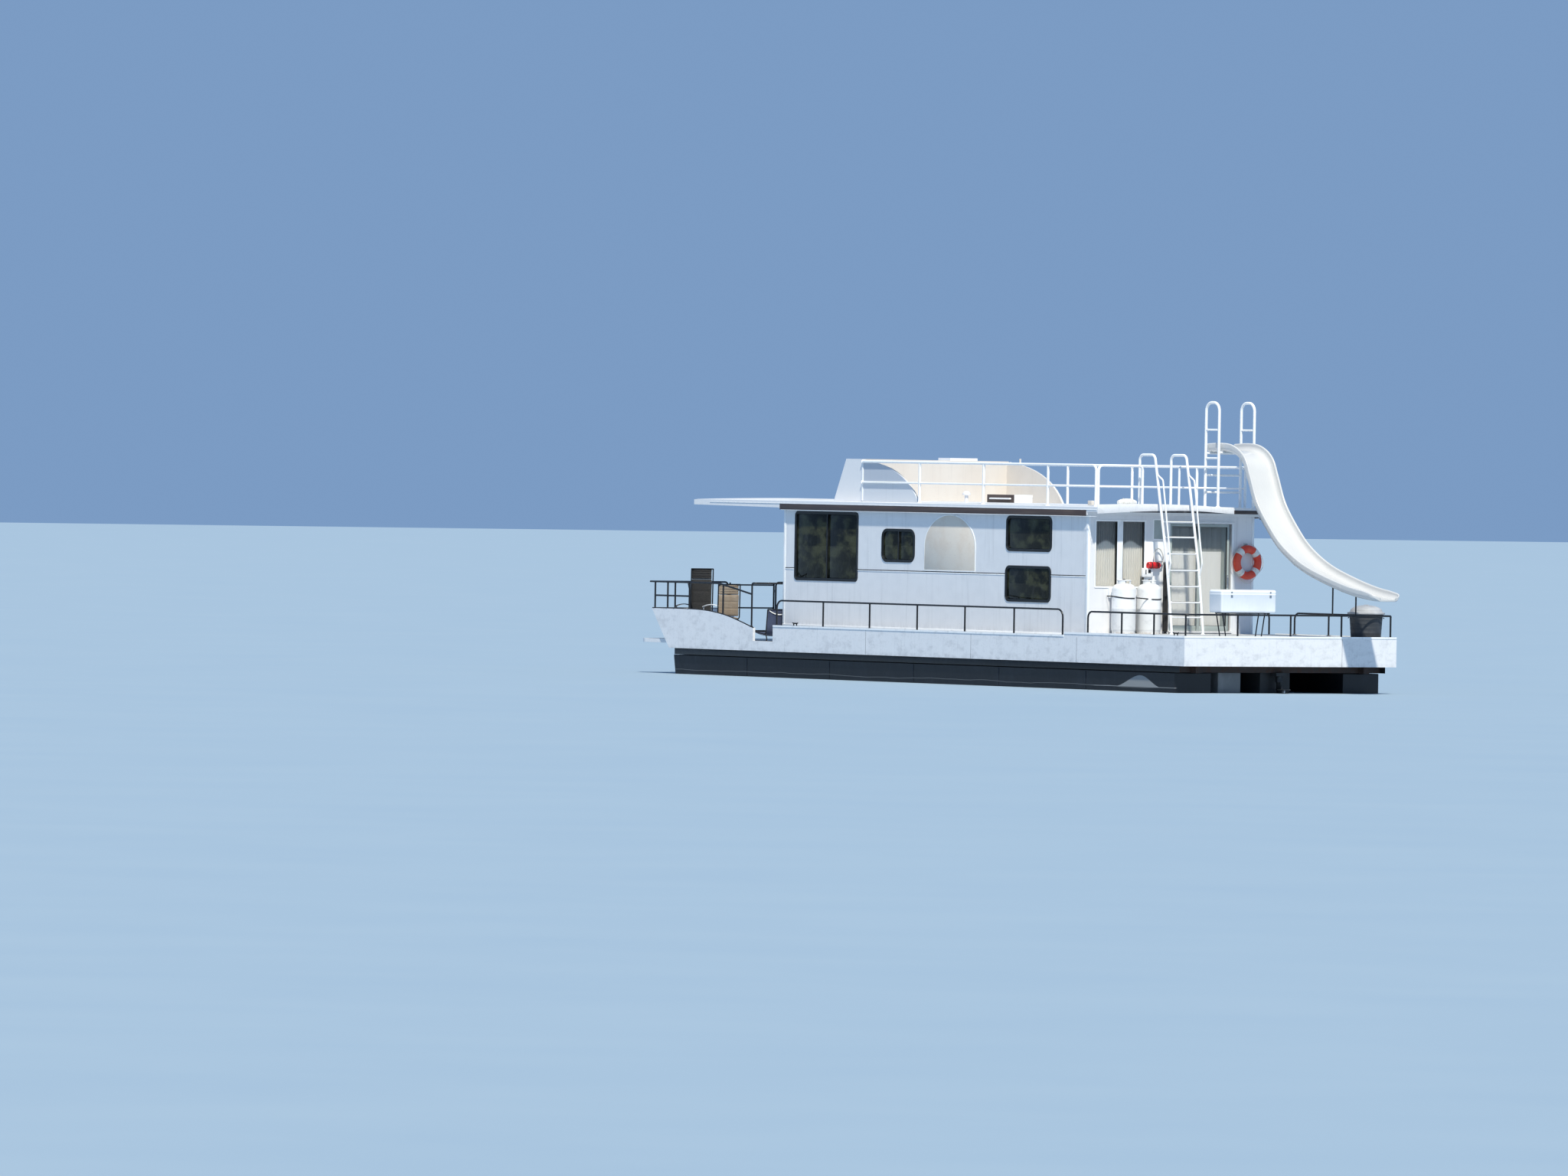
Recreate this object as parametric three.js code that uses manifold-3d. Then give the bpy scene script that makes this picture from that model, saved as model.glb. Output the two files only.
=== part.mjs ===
// A twin-pontoon houseboat about 17 m long over its slide and bow step: raft deck, cabin with
// canopy roof, rooftop fairing and rails, stern ladder, water slide, stern gear and steering drive.
// Millimetres, +Z up. Inside the boat group x is 0 at the stern fascia and falls towards the bow,
// y is 0 on the centreline with port at -y, and z is 0 at the flat bottoms of the pontoons.
import * as THREE from 'three';
import { mergeVertices } from 'three/addons/utils/BufferGeometryUtils.js';
import Module from 'manifold-3d';

const wasm = await Module();
wasm.setup();

// Driving dimensions
const gap = 0.3; // left between pieces that touch
const runGap = 6; // left round a moving leaf
const sternX = 7513; // the stern fascia's place along the boat's own length
const halfBeam = 2360;
const pontoon = { width: 800, inset: 90, height: 850, stern: -370, nose: -15150 };
const chineZ = 970; // top of the deck frame, bottom of the white fascias
const walkZ = 1430; // side walkways and cabin sole
const sternDeckZ = 1480;
const bowDeckZ = 1130;
const bulwark = { topZ: 1690, thick: 50, front: -15250, topFront: -15730, aft: -12600 };
const cabin = { front: -12390, rear: -3420, half: 1850, wall: 50, topZ: 3550 };
const walkFront = -12000; // where the side walkways start
const roof = { front: -15060, rear: -3080, half: 1930, edgeZ: 3690, camber: 40, sternZ: 3605 };
const bowStep = { front: -16240, half: 2300, thick: 70, corner: 260 };
const stringerY = 1870; // centre of each pontoon and of the beam on it
const crossBeamZ = 858; // underside of the cross beams
const railR = 18; // black tube
const whiteR = 20; // white tube
const lowRail = { y: 2310, z: 1890 };
const upperRail = { half: 1670, topZ: 4420, midZ: 4040, rear: -3430 };
const fairing = { aft: -10320, noseFoot: -11200, noseTop: -10820, wingAft: -8650, topZ: 4465 };
const slide = { y: 1170, half: 325, lip: 155, wall: 30 };

// Shape helpers

// A closed mesh as a solid that can be cut and joined.
function solid(geometry) {
  const bare = geometry.clone();
  bare.deleteAttribute('normal');
  bare.deleteAttribute('uv');
  const merged = mergeVertices(bare, 0.01);
  return new wasm.Manifold(new wasm.Mesh({
    numProp: 3,
    vertProperties: merged.attributes.position.array,
    triVerts: merged.index.array,
  }));
}

const join = (...solids) => solids.flat().reduce((whole, next) => whole.add(next));
const cut = (body, ...tools) => tools.flat().reduce((rest, tool) => rest.subtract(tool), body);

function box(x0, x1, y0, y1, z0, z1) {
  const geometry = new THREE.BoxGeometry(x1 - x0, y1 - y0, z1 - z0);
  return solid(geometry.translate((x0 + x1) / 2, (y0 + y1) / 2, (z0 + z1) / 2));
}

function shapeOf(outline) {
  return outline instanceof THREE.Shape
    ? outline
    : new THREE.Shape(outline.map(([a, b]) => new THREE.Vector2(a, b)));
}

// A prism across the boat, from a side outline in x and z.
function sideways(outline, y0, y1, curveSegments = 8) {
  const options = { depth: y1 - y0, bevelEnabled: false, curveSegments };
  const geometry = new THREE.ExtrudeGeometry(shapeOf(outline), options);
  return solid(geometry.rotateX(Math.PI / 2).translate(0, y1, 0));
}

// A prism along the boat, from a cross-section in y and z.
function lengthways(outline, x0, x1, curveSegments = 8) {
  const options = { depth: x1 - x0, bevelEnabled: false, curveSegments };
  const geometry = new THREE.ExtrudeGeometry(shapeOf(outline), options);
  const turn = new THREE.Matrix4().makeBasis(
    new THREE.Vector3(0, 1, 0), new THREE.Vector3(0, 0, 1), new THREE.Vector3(1, 0, 0));
  return solid(geometry.applyMatrix4(turn).translate(x0, 0, 0));
}

// A prism upwards, from a plan outline in x and y.
function upwards(outline, z0, z1, curveSegments = 8) {
  const options = { depth: z1 - z0, bevelEnabled: false, curveSegments };
  return solid(new THREE.ExtrudeGeometry(shapeOf(outline), options).translate(0, 0, z0));
}

// A rectangle with round corners, as a shape in its own two axes.
function roundedRect(a0, a1, b0, b1, r) {
  const shape = new THREE.Shape();
  shape.moveTo(a0 + r, b0);
  shape.lineTo(a1 - r, b0);
  shape.absarc(a1 - r, b0 + r, r, -Math.PI / 2, 0);
  shape.lineTo(a1, b1 - r);
  shape.absarc(a1 - r, b1 - r, r, 0, Math.PI / 2);
  shape.lineTo(a0 + r, b1);
  shape.absarc(a0 + r, b1 - r, r, Math.PI / 2, Math.PI);
  shape.lineTo(a0, b0 + r);
  shape.absarc(a0 + r, b0 + r, r, Math.PI, Math.PI * 1.5);
  return shape;
}

// An upright body of revolution; the profile is a list of [radius, height] that meets the axis.
function turned(profile, x, y, z, sides = 20) {
  const points = profile.map(([r, h]) => new THREE.Vector2(r, h));
  const geometry = new THREE.LatheGeometry(points, sides);
  return solid(geometry.rotateX(Math.PI / 2).translate(x, y, z));
}

// A route through fixed points, with its own frames, for tubes and for the slide's bed.
class Route extends THREE.Curve {
  constructor(points, side = null) {
    super();
    this.points = points;
    this.side = side;
  }

  getSpacedPoints() {
    return this.points;
  }

  computeFrenetFrames() {
    const last = this.points.length - 1;
    const tangents = this.points.map((_, i) => {
      const back = this.points[Math.max(i - 1, 0)];
      const ahead = this.points[Math.min(i + 1, last)];
      return ahead.clone().sub(back).normalize();
    });
    const start = Math.abs(tangents[0].z) < 0.9 ? new THREE.Vector3(0, 0, 1) : new THREE.Vector3(1, 0, 0);
    let carried = this.side ?? start;
    const normals = tangents.map((tangent) => {
      carried = carried.clone().addScaledVector(tangent, -carried.dot(tangent)).normalize();
      return carried;
    });
    const binormals = tangents.map((tangent, i) => tangent.clone().cross(normals[i]));
    return { tangents, normals, binormals };
  }
}

// The points of a bent tube: straight runs with each inner corner rounded to the bend radius.
function bent(corners, bend = 0) {
  const points = corners.map((corner) => new THREE.Vector3(...corner));
  if (!bend) return points;
  const route = [points[0]];
  for (let i = 1; i < points.length - 1; i += 1) {
    const here = points[i];
    const back = points[i - 1].clone().sub(here);
    const ahead = points[i + 1].clone().sub(here);
    const angle = back.angleTo(ahead);
    const reach = Math.min(bend / Math.tan(angle / 2), back.length() * 0.48, ahead.length() * 0.48);
    const enter = here.clone().addScaledVector(back.normalize(), reach);
    const leave = here.clone().addScaledVector(ahead.normalize(), reach);
    const corner = new THREE.QuadraticBezierCurve3(enter, here, leave);
    const steps = angle < 2.4 ? 4 : 2;
    route.push(...corner.getPoints(steps));
  }
  route.push(points[points.length - 1]);
  return route;
}

function tube(corners, radius, { bend = 0, sides = 6 } = {}) {
  const section = new THREE.Shape();
  for (let i = 0; i < sides; i += 1) {
    const turn = (Math.PI * 2 * (i + 0.5)) / sides;
    const point = [radius * Math.cos(turn), radius * Math.sin(turn)];
    if (i) section.lineTo(...point);
    else section.moveTo(...point);
  }
  const points = bent(corners, bend);
  const options = { steps: points.length - 1, extrudePath: new Route(points), bevelEnabled: false };
  return solid(new THREE.ExtrudeGeometry(section, options));
}

// Materials
const paint = (color, roughness = 0.45, metalness = 0) =>
  new THREE.MeshStandardMaterial({ color, roughness, metalness });
const white = paint(0xe6e9ee);
const offWhite = paint(0xdcd9cd, 0.6);
const black = paint(0x15161a, 0.4);
const hullBlack = paint(0x14171f, 0.35);
const steelBrown = paint(0x4a3a32, 0.7);
const glass = paint(0x20282c, 0.1);
const grey = paint(0x8d949a, 0.6);
const darkPlastic = paint(0x33363b, 0.6);
const red = paint(0xc6332a, 0.5);
const navy = paint(0x232f4c, 0.85);
const wood = paint(0x8a6a48, 0.6);

// The boat and its nodes
const houseboat = new THREE.Group();
const boat = new THREE.Group();
boat.position.x = sternX;
houseboat.add(boat);

function piece(name, body, material) {
  const { vertProperties, triVerts } = body.getMesh();
  const geometry = new THREE.BufferGeometry();
  geometry.setAttribute('position', new THREE.BufferAttribute(new Float32Array(vertProperties), 3));
  geometry.setIndex(new THREE.BufferAttribute(new Uint32Array(triVerts), 1));
  geometry.computeVertexNormals();
  const mesh = new THREE.Mesh(geometry, material);
  mesh.name = name;
  boat.add(mesh);
}

const mirrored = (body) => body.scale([1, -1, 1]);

// Port is built; starboard is its mirror.
function bothSides(stem, portBody, material) {
  piece(`${stem}_port`, portBody, material);
  piece(`${stem}_starboard`, mirrored(portBody), material);
}

// Pontoons and deck frame
function portPontoon() {
  const outer = -halfBeam + pontoon.inset;
  const inner = outer + pontoon.width;
  const chamfer = 110;
  const profile = new THREE.Shape();
  profile.moveTo(pontoon.stern, 0);
  profile.lineTo(pontoon.stern, pontoon.height);
  profile.lineTo(pontoon.nose, pontoon.height);
  profile.lineTo(pontoon.nose + 70, 420);
  profile.quadraticCurveTo(pontoon.nose + 180, 90, pontoon.nose + 900, 0);
  const section = [
    [outer + chamfer, 0], [inner - chamfer, 0], [inner, chamfer],
    [inner, pontoon.height], [outer, pontoon.height], [outer, chamfer],
  ];
  const length = lengthways(section, pontoon.nose - 10, pontoon.stern + 10);
  return sideways(profile, outer - 10, inner + 10).intersect(length);
}

function deckFrame() {
  const z0 = pontoon.height + gap;
  const z1 = chineZ - gap;
  const beam = { half: 60, pitch: 1320, count: 12, stern: -420, reach: 2290 };
  const skirt = 20; // thickness of the plate over the cross beams' ends
  const inset = crossBeamZ - z0; // the long beams stop this far below the deck
  const parts = [];
  for (const y of [-stringerY, stringerY]) {
    parts.push(box(pontoon.nose + 60, beam.stern + 200, y - beam.half, y + beam.half, z0, z1 - inset));
  }
  for (let i = 0; i < beam.count; i += 1) {
    const x = beam.stern - i * beam.pitch;
    parts.push(box(x - beam.half, x + beam.half, -beam.reach, beam.reach, crossBeamZ, z1));
  }
  const fore = beam.stern - (beam.count - 1) * beam.pitch - beam.half;
  for (const y of [-beam.reach, beam.reach - skirt]) {
    parts.push(box(fore, beam.stern + beam.half, y, y + skirt, crossBeamZ, z1));
  }
  return join(parts);
}

bothSides('pontoon', portPontoon(), hullBlack);
piece('deck_frame', deckFrame(), steelBrown);

// Decks
function mainDeck() {
  const under = box(cabin.front + gap, cabin.rear, -cabin.half, cabin.half, chineZ, walkZ);
  const walks = box(walkFront, cabin.rear, -halfBeam, halfBeam, chineZ, walkZ);
  const stern = box(cabin.rear + gap, 0, -halfBeam, halfBeam, chineZ, sternDeckZ);
  return join(under, walks, stern, box(cabin.rear - 5, cabin.rear + 5, -halfBeam, halfBeam, chineZ, walkZ));
}

function bowDeck() {
  const half = halfBeam - bulwark.thick - gap;
  const slab = box(bulwark.front, cabin.front, -half, half, chineZ, bowDeckZ);
  const parts = [slab];
  for (const side of [-1, 1]) {
    const inner = cabin.half + gap;
    const y0 = side < 0 ? -half : inner;
    const y1 = side < 0 ? -inner : half;
    parts.push(box(cabin.front - 5, walkFront - gap, y0, y1, chineZ, bowDeckZ));
  }
  const step = roundedRect(bowStep.front, bulwark.front + 400, -bowStep.half, bowStep.half, bowStep.corner);
  parts.push(upwards(step, bowDeckZ - bowStep.thick, bowDeckZ, 5));
  return join(parts);
}

piece('deck_main', mainDeck(), white);
piece('deck_bow', bowDeck(), white);

// Bow bulwarks: each side's plate and its raked return across the bow
const bulwarkEdge = [
  [-14600, 1690], [-14000, 1668], [-13470, 1600], [-13010, 1495], [-12660, 1400], [bulwark.aft, 1385],
]; // x, z along the falling top edge
const returnInner = 620; // the returns stop this far from the centreline

function bulwarkTopAt(x) {
  if (x <= bulwarkEdge[0][0]) return bulwark.topZ;
  const i = bulwarkEdge.findIndex(([edgeX]) => edgeX >= x);
  const [x0, z0] = bulwarkEdge[i - 1];
  const [x1, z1] = bulwarkEdge[i];
  return z0 + ((z1 - z0) * (x - x0)) / (x1 - x0);
}

function portBulwark() {
  const sill = 20; // the gate sill stands this much above the bow deck
  const plate = sideways([
    [-15170, chineZ], [walkFront - gap, chineZ], [walkFront - gap, bowDeckZ + sill],
    [bulwark.aft, bowDeckZ + sill], ...bulwarkEdge.slice().reverse(),
    [bulwark.topFront, bulwark.topZ], [bulwark.front, 1060],
  ], -halfBeam, -halfBeam + bulwark.thick);
  const lean = 30;
  const rake = sideways([
    [bulwark.front - lean, bowDeckZ + gap], [bulwark.front + bulwark.thick - lean, bowDeckZ + gap],
    [bulwark.topFront + bulwark.thick + 5, bulwark.topZ], [bulwark.topFront, bulwark.topZ],
  ], -halfBeam + 10, -returnInner);
  return join(plate, rake);
}

bothSides('bulwark', portBulwark(), white);

// Low black rails
const bowRail = { front: -15860, topZ: 2170, y: halfBeam - bulwark.thick / 2, gatePost: -12680 };
const gatePostY = 545; // the two posts of the bow gate stand on the bow step

function portBowRail() {
  const footX = bulwark.topFront + bulwark.thick / 2;
  const y = -bowRail.y;
  const foot = bulwark.topZ + gap;
  const top = bowRail.topZ;
  const hoopZ = 2190;
  const hoopY = -cabin.half + 40;
  const footOf = (x) => bulwarkTopAt(x - railR) + gap;
  const { front, gatePost } = bowRail;
  const parts = [
    tube([
      [front, -gatePostY, bowDeckZ + gap], [front, -gatePostY, top], [front, y, top], [-13680, y, top],
      [gatePost, y, 1990],
    ], railR, { bend: 70 }),
    tube([
      [gatePost, y, footOf(gatePost)], [gatePost, y, hoopZ], [-12600, y, hoopZ],
      [cabin.front - 120, hoopY, hoopZ], [cabin.front - gap, hoopY, hoopZ],
    ], railR, { bend: 60 }),
    tube([[footX, -1450, foot], [footX, -1450, foot + 30], [front, -1450, top]], railR),
    tube([[-15660, y, 1920], [-14600, y, 1920]], railR),
  ];
  for (const x of [-15660, -15270, -15040, -14600, -13560]) {
    parts.push(tube([[x, y, footOf(x)], [x, y, top]], railR));
  }
  return join(parts);
}

// The bow gate swings aft from the port gate post.
const gate = { half: gatePostY - railR - runGap - 4, low: bowDeckZ + 110, high: bowRail.topZ - 10, bossR: 14 };

function bowGate() {
  const x = bowRail.front;
  const y = gate.half - railR;
  const parts = [
    tube([[x, -y, gate.low], [x, -y, gate.high]], railR),
    tube([[x, y, gate.low], [x, y, gate.high]], railR),
  ];
  for (const z of [gate.low + 40, (gate.low + gate.high) / 2, gate.high - 40]) {
    parts.push(tube([[x, -y, z], [x, y, z]], railR - 4));
  }
  for (const z of [gate.low + 120, gate.high - 120]) {
    parts.push(box(x - 8, x + 8, -gatePostY + railR + gap, -y, z - gate.bossR, z + gate.bossR));
  }
  return join(parts);
}

function portSideRail() {
  const y = -lowRail.y;
  const foot = walkZ + gap;
  const front = -11950;
  const aft = -3520;
  const parts = [tube([
    [front, y, foot], [front, y, lowRail.z], [aft, y, lowRail.z], [aft, y, foot],
  ], railR, { bend: 140 })];
  for (const x of [-10550, -9160, -7750, -6350, -4920]) {
    parts.push(tube([[x, y, foot], [x, y, lowRail.z]], railR));
  }
  return join(parts);
}

bothSides('bow_rail', portBowRail(), black);
bothSides('side_rail', portSideRail(), black);

// Cabin
// windows in the side walls: x from, x to, z from, z to, corner radius
const sideWindows = {
  saloon: [-12040, -10170, 2280, 3490, 60],
  galley: [-9430, -8480, 2650, 3210, 130],
  bunk_upper: [-5770, -4480, 2900, 3490, 90],
  bunk_lower: [-5780, -4490, 2010, 2610, 90],
};
const glazing = { out: 12, in: 8 }; // how far a window stands out of its wall, and back from its inside
const frontDoor = { half: 400, top: 3390 };
const frontWindow = [620, 1620, 2300, 3330, 60]; // y from, y to, z from, z to, corner radius
const sternWindow = [-1710, -570, 2270, 3475, 30];
const sternDoor = { y0: -30, y1: 1350, z0: 1530, z1: 3420 };

function portWall() {
  const outer = -cabin.half;
  const inner = outer + cabin.wall;
  const wall = box(cabin.front, cabin.rear, outer, inner, walkZ + gap, cabin.topZ - gap);
  const holes = Object.values(sideWindows).map(
    ([x0, x1, z0, z1, r]) => sideways(roundedRect(x0, x1, z0, z1, r), outer - 20, inner + 20, 2));
  return cut(wall, holes);
}

function portWindow([x0, x1, z0, z1, r]) {
  const outline = roundedRect(x0 + gap, x1 - gap, z0 + gap, z1 - gap, r);
  return sideways(outline, -cabin.half - glazing.out, -cabin.half + cabin.wall - glazing.in, 2);
}

bothSides('cabin_wall', portWall(), white);
for (const [name, row] of Object.entries(sideWindows)) {
  bothSides(`window_${name}`, portWindow(row), glass);
}

const crossHalf = cabin.half - cabin.wall - gap; // the end walls stand between the side walls
const knuckle = { r: 14, tall: 60, zs: [1650, 3150] };

function frontWall() {
  const x1 = cabin.front + cabin.wall;
  const wall = box(cabin.front, x1, -crossHalf, crossHalf, walkZ + gap, cabin.topZ - gap);
  const door = box(cabin.front - 20, x1 + 20, -frontDoor.half, frontDoor.half, walkZ + 10, frontDoor.top);
  const holes = [door];
  for (const side of [-1, 1]) {
    const [y0, y1, z0, z1, r] = frontWindow;
    const outline = side < 0 ? roundedRect(-y1, -y0, z0, z1, r) : roundedRect(y0, y1, z0, z1, r);
    holes.push(lengthways(outline, cabin.front - 20, x1 + 20, 2));
  }
  const pins = knuckle.zs.map((z) => hingeKnuckle(z - knuckle.tall - gap, -1));
  return join(cut(wall, holes), pins);
}

// One leaf of the front door's hinge: a knuckle on the pivot line and the plate that carries it.
function hingeKnuckle(z, side) {
  const pivot = { x: cabin.front - knuckle.r - 2, y: -frontDoor.half + 3 };
  const drum = turned([[0, 0], [knuckle.r, 0], [knuckle.r, knuckle.tall], [0, knuckle.tall]], pivot.x, pivot.y, z, 12);
  const y0 = side < 0 ? pivot.y - 60 : pivot.y;
  const y1 = side < 0 ? pivot.y : pivot.y + 60;
  return join(drum, box(cabin.front - 8, cabin.front + 3, y0, y1, z, z + knuckle.tall));
}

function frontDoorLeaf() {
  const half = frontDoor.half - runGap;
  const leaf = box(cabin.front, cabin.front + 40, -half, half, walkZ + 10 + runGap, frontDoor.top - runGap);
  return join(leaf, knuckle.zs.map((z) => hingeKnuckle(z, 1)));
}

function frontWindowUnit(side) {
  const [y0, y1, z0, z1, r] = frontWindow;
  const outline = roundedRect(y0 + gap, y1 - gap, z0 + gap, z1 - gap, r);
  const unit = lengthways(outline, cabin.front - glazing.out, cabin.front + cabin.wall - glazing.in, 2);
  return side < 0 ? mirrored(unit) : unit;
}

function sternWall() {
  const x0 = cabin.rear - cabin.wall;
  const wall = box(x0, cabin.rear, -crossHalf, crossHalf, walkZ + gap, cabin.topZ - gap);
  const [y0, y1, z0, z1, r] = sternWindow;
  const holes = [
    lengthways(roundedRect(y0, y1, z0, z1, r), x0 - 20, cabin.rear + 20, 2),
    box(x0 - 20, cabin.rear + 20, sternDoor.y0, sternDoor.y1, sternDoor.z0, sternDoor.z1),
  ];
  const track = box(cabin.rear - 10, cabin.rear + 45, sternDoor.y0 - 20, sternDoor.y1 + 20,
    sternDoor.z0 - 30, sternDoor.z0);
  const head = box(cabin.rear - 10, cabin.rear + 45, sternDoor.y0 - 20, sternDoor.y1 + 20,
    sternDoor.z1, sternDoor.z1 + 30);
  return join(cut(wall, holes), track, head);
}

const doorLeaf = { width: 700, thick: 34, open: 80, clear: 5 };

function sternDoorFixed() {
  const y0 = sternDoor.y0 + gap;
  return box(cabin.rear - 44, cabin.rear - 6, y0, y0 + doorLeaf.width, sternDoor.z0 + gap, sternDoor.z1 - gap);
}

function sternDoorSlider() {
  const y1 = sternDoor.y1 - doorLeaf.open;
  const x0 = cabin.rear + doorLeaf.clear;
  return box(x0, x0 + doorLeaf.thick, y1 - doorLeaf.width, y1, sternDoor.z0 + gap, sternDoor.z1 - doorLeaf.clear);
}

piece('cabin_wall_front', frontWall(), white);
piece('front_door', frontDoorLeaf(), offWhite);
piece('window_front_port', frontWindowUnit(-1), glass);
piece('window_front_starboard', frontWindowUnit(1), glass);
piece('cabin_wall_stern', sternWall(), white);
piece('stern_door_fixed', sternDoorFixed(), offWhite);
piece('stern_door_slider', sternDoorSlider(), offWhite);

function sternWindowUnit() {
  const [y0, y1, z0, z1, r] = sternWindow;
  const outline = roundedRect(y0 + gap, y1 - gap, z0 + gap, z1 - gap, r);
  return lengthways(outline, cabin.rear - cabin.wall + glazing.in, cabin.rear + glazing.out, 2);
}

piece('window_stern', sternWindowUnit(), glass);

// Sole, partition, bunks, galley and dinette inside, as one fitted unit
function cabinFittings() {
  const z0 = walkZ + gap;
  const soleZ = walkZ + 20;
  const reach = crossHalf - 10;
  const x0 = cabin.front + cabin.wall + 10;
  const x1 = cabin.rear - cabin.wall - 10;
  // x from, x to, y from, y to, z top
  const blocks = [
    [-9500, -7300, 1150, reach, 2330],
    [-7000, -6300, 1150, reach, 3300],
    [-5950, -4100, -reach, -950, 1880],
    [-5950, -4100, 950, reach, 1880],
    [-11600, -11000, -reach, -700, 1900],
    [-10100, -9500, -reach, -700, 1900],
  ];
  const parts = [box(x0, x1, -reach, reach, z0, soleZ)];
  for (const [bx0, bx1, y0, y1, top] of blocks) {
    parts.push(box(bx0, bx1, y0, y1, soleZ - 5, top));
  }
  parts.push(box(-10850, -10250, -reach, -800, 2130, 2170));
  parts.push(box(-10600, -10500, -1350, -1250, soleZ - 5, 2140));
  for (const side of [-1, 1]) {
    const y0 = side < 0 ? -reach : 420;
    const y1 = side < 0 ? -420 : reach;
    parts.push(box(-6100, -6060, y0, y1, soleZ - 5, cabin.topZ - 60));
    const b0 = side < 0 ? -reach : 950;
    const b1 = side < 0 ? -950 : reach;
    parts.push(box(-6070, -4100, b0, b1, 2690, 2740));
  }
  return join(parts);
}

piece('cabin_fittings', cabinFittings(), wood);

// Helm inside the front wall, to starboard
const helm = { x0: -12320, x1: -11900, y0: 720, y1: 1420, topZ: 2280, wheelR: 190 };

function helmConsole() {
  return sideways([
    [helm.x0, walkZ + 20 + gap], [helm.x1, walkZ + 20 + gap], [helm.x1, helm.topZ - 250],
    [helm.x1 - 60, helm.topZ], [helm.x0, helm.topZ],
  ], helm.y0, helm.y1);
}

const wheelCentre = { x: helm.x1 + 90, y: (helm.y0 + helm.y1) / 2, z: helm.topZ - 330 };

function steeringWheel() {
  const rim = solid(new THREE.TorusGeometry(helm.wheelR, 14, 6, 24).rotateY(Math.PI / 2));
  const parts = [rim.translate([wheelCentre.x, wheelCentre.y, wheelCentre.z])];
  for (let i = 0; i < 3; i += 1) {
    const turn = (Math.PI * 2 * i) / 3 + Math.PI / 2;
    const tip = [wheelCentre.x, wheelCentre.y + helm.wheelR * Math.cos(turn),
      wheelCentre.z + helm.wheelR * Math.sin(turn)];
    parts.push(tube([[wheelCentre.x, wheelCentre.y, wheelCentre.z], tip], 9));
  }
  const shaft = [[helm.x1 + gap, wheelCentre.y, wheelCentre.z], [wheelCentre.x + 15, wheelCentre.y, wheelCentre.z]];
  parts.push(tube(shaft, 32, { sides: 12 }));
  return join(parts);
}

piece('helm_console', helmConsole(), offWhite);
piece('steering_wheel', steeringWheel(), black);

// Roof with its canopy over the bow deck
function roofSlab() {
  const top = roof.edgeZ;
  const section = new THREE.Shape();
  section.moveTo(-roof.half, cabin.topZ);
  section.lineTo(roof.half, cabin.topZ);
  section.lineTo(roof.half, top);
  section.quadraticCurveTo(0, top + roof.camber * 2, -roof.half, top);
  const cambered = lengthways(section, roof.front, roof.rear, 10);
  const profile = sideways([
    [roof.front, 3590], [cabin.front - 60, 3565], [cabin.front - 60, cabin.topZ],
    [cabin.rear + 50, cabin.topZ], [cabin.rear + 50, roof.sternZ], [roof.rear, roof.sternZ],
    [roof.rear, 3800], [-14100, 3800], [-14400, 3740], [roof.front, 3680],
  ], -roof.half - 10, roof.half + 10);
  return cambered.intersect(profile);
}

function roofTopAt(y) {
  return roof.edgeZ + roof.camber * (1 - (y / roof.half) ** 2);
}

// Where a post of radius r stands on the cambered roof without cutting it.
function roofFoot(y, r = whiteR) {
  return roofTopAt(Math.max(0, Math.abs(y) - r)) + gap;
}

// Mushroom ventilator, which stands in the roof
function roofVent() {
  const foot = cabin.topZ + 60;
  const rise = roofTopAt(860) - foot;
  const stem = 33;
  const cap = 73;
  const profile = [
    [0, 0], [stem, 0], [stem, rise + 130], [cap, rise + 130], [cap, rise + 160], [cap - 30, rise + 195],
    [0, rise + 205],
  ];
  return turned(profile, -8270, -860, foot, 16);
}

const roofBody = join(roofSlab(), roofVent());
const seatedOn = (body, support) => cut(body, support.translate([0, 0, gap]));
const seatedUnder = (body, load) => cut(body, load.translate([0, 0, -gap]));

piece('roof', roofBody, white);

// Rooftop fairing: a raked nose across the roof with a wing at each side
function rooftopFairing() {
  const foot = cabin.topZ + 100;
  const half = upperRail.half - whiteR - gap; // just inside the rails
  const { noseFoot, noseTop, aft, wingAft, topZ } = fairing;
  const nose = sideways([[noseFoot, foot], [aft, foot], [aft, topZ], [noseTop, topZ]], -half, half);
  const wing = new THREE.Shape();
  const wingTop = topZ - 10;
  wing.moveTo(aft - 20, foot);
  wing.lineTo(wingAft, foot);
  wing.lineTo(wingAft, roof.edgeZ + 20);
  wing.bezierCurveTo(wingAft - 300, 4180, wingAft - 900, wingTop - 60, aft - 20, wingTop);
  const port = sideways(wing, -half, -half + 45, 10);
  const tray = box(-10760, -10400, 380, 1000, topZ - 5, topZ + 45);
  const mast = tube([[-9950, half - 22, 4380], [-9950, half - 22, 4515]], 20);
  return seatedOn(join(nose, port, mirrored(port), tray, mast), roofBody);
}

piece('rooftop_fairing', rooftopFairing(), offWhite);

// White rails round the rooftop, each with its share of the rear
const ladder = { port: -600, starboard: 100, foreX: -3590, hoopZ: 4620, headX: -3000, footX: -2600 };
const hoop = { port: 800, starboard: 1590, foreX: -3500, aftX: -3130, topZ: 5560 };

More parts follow.
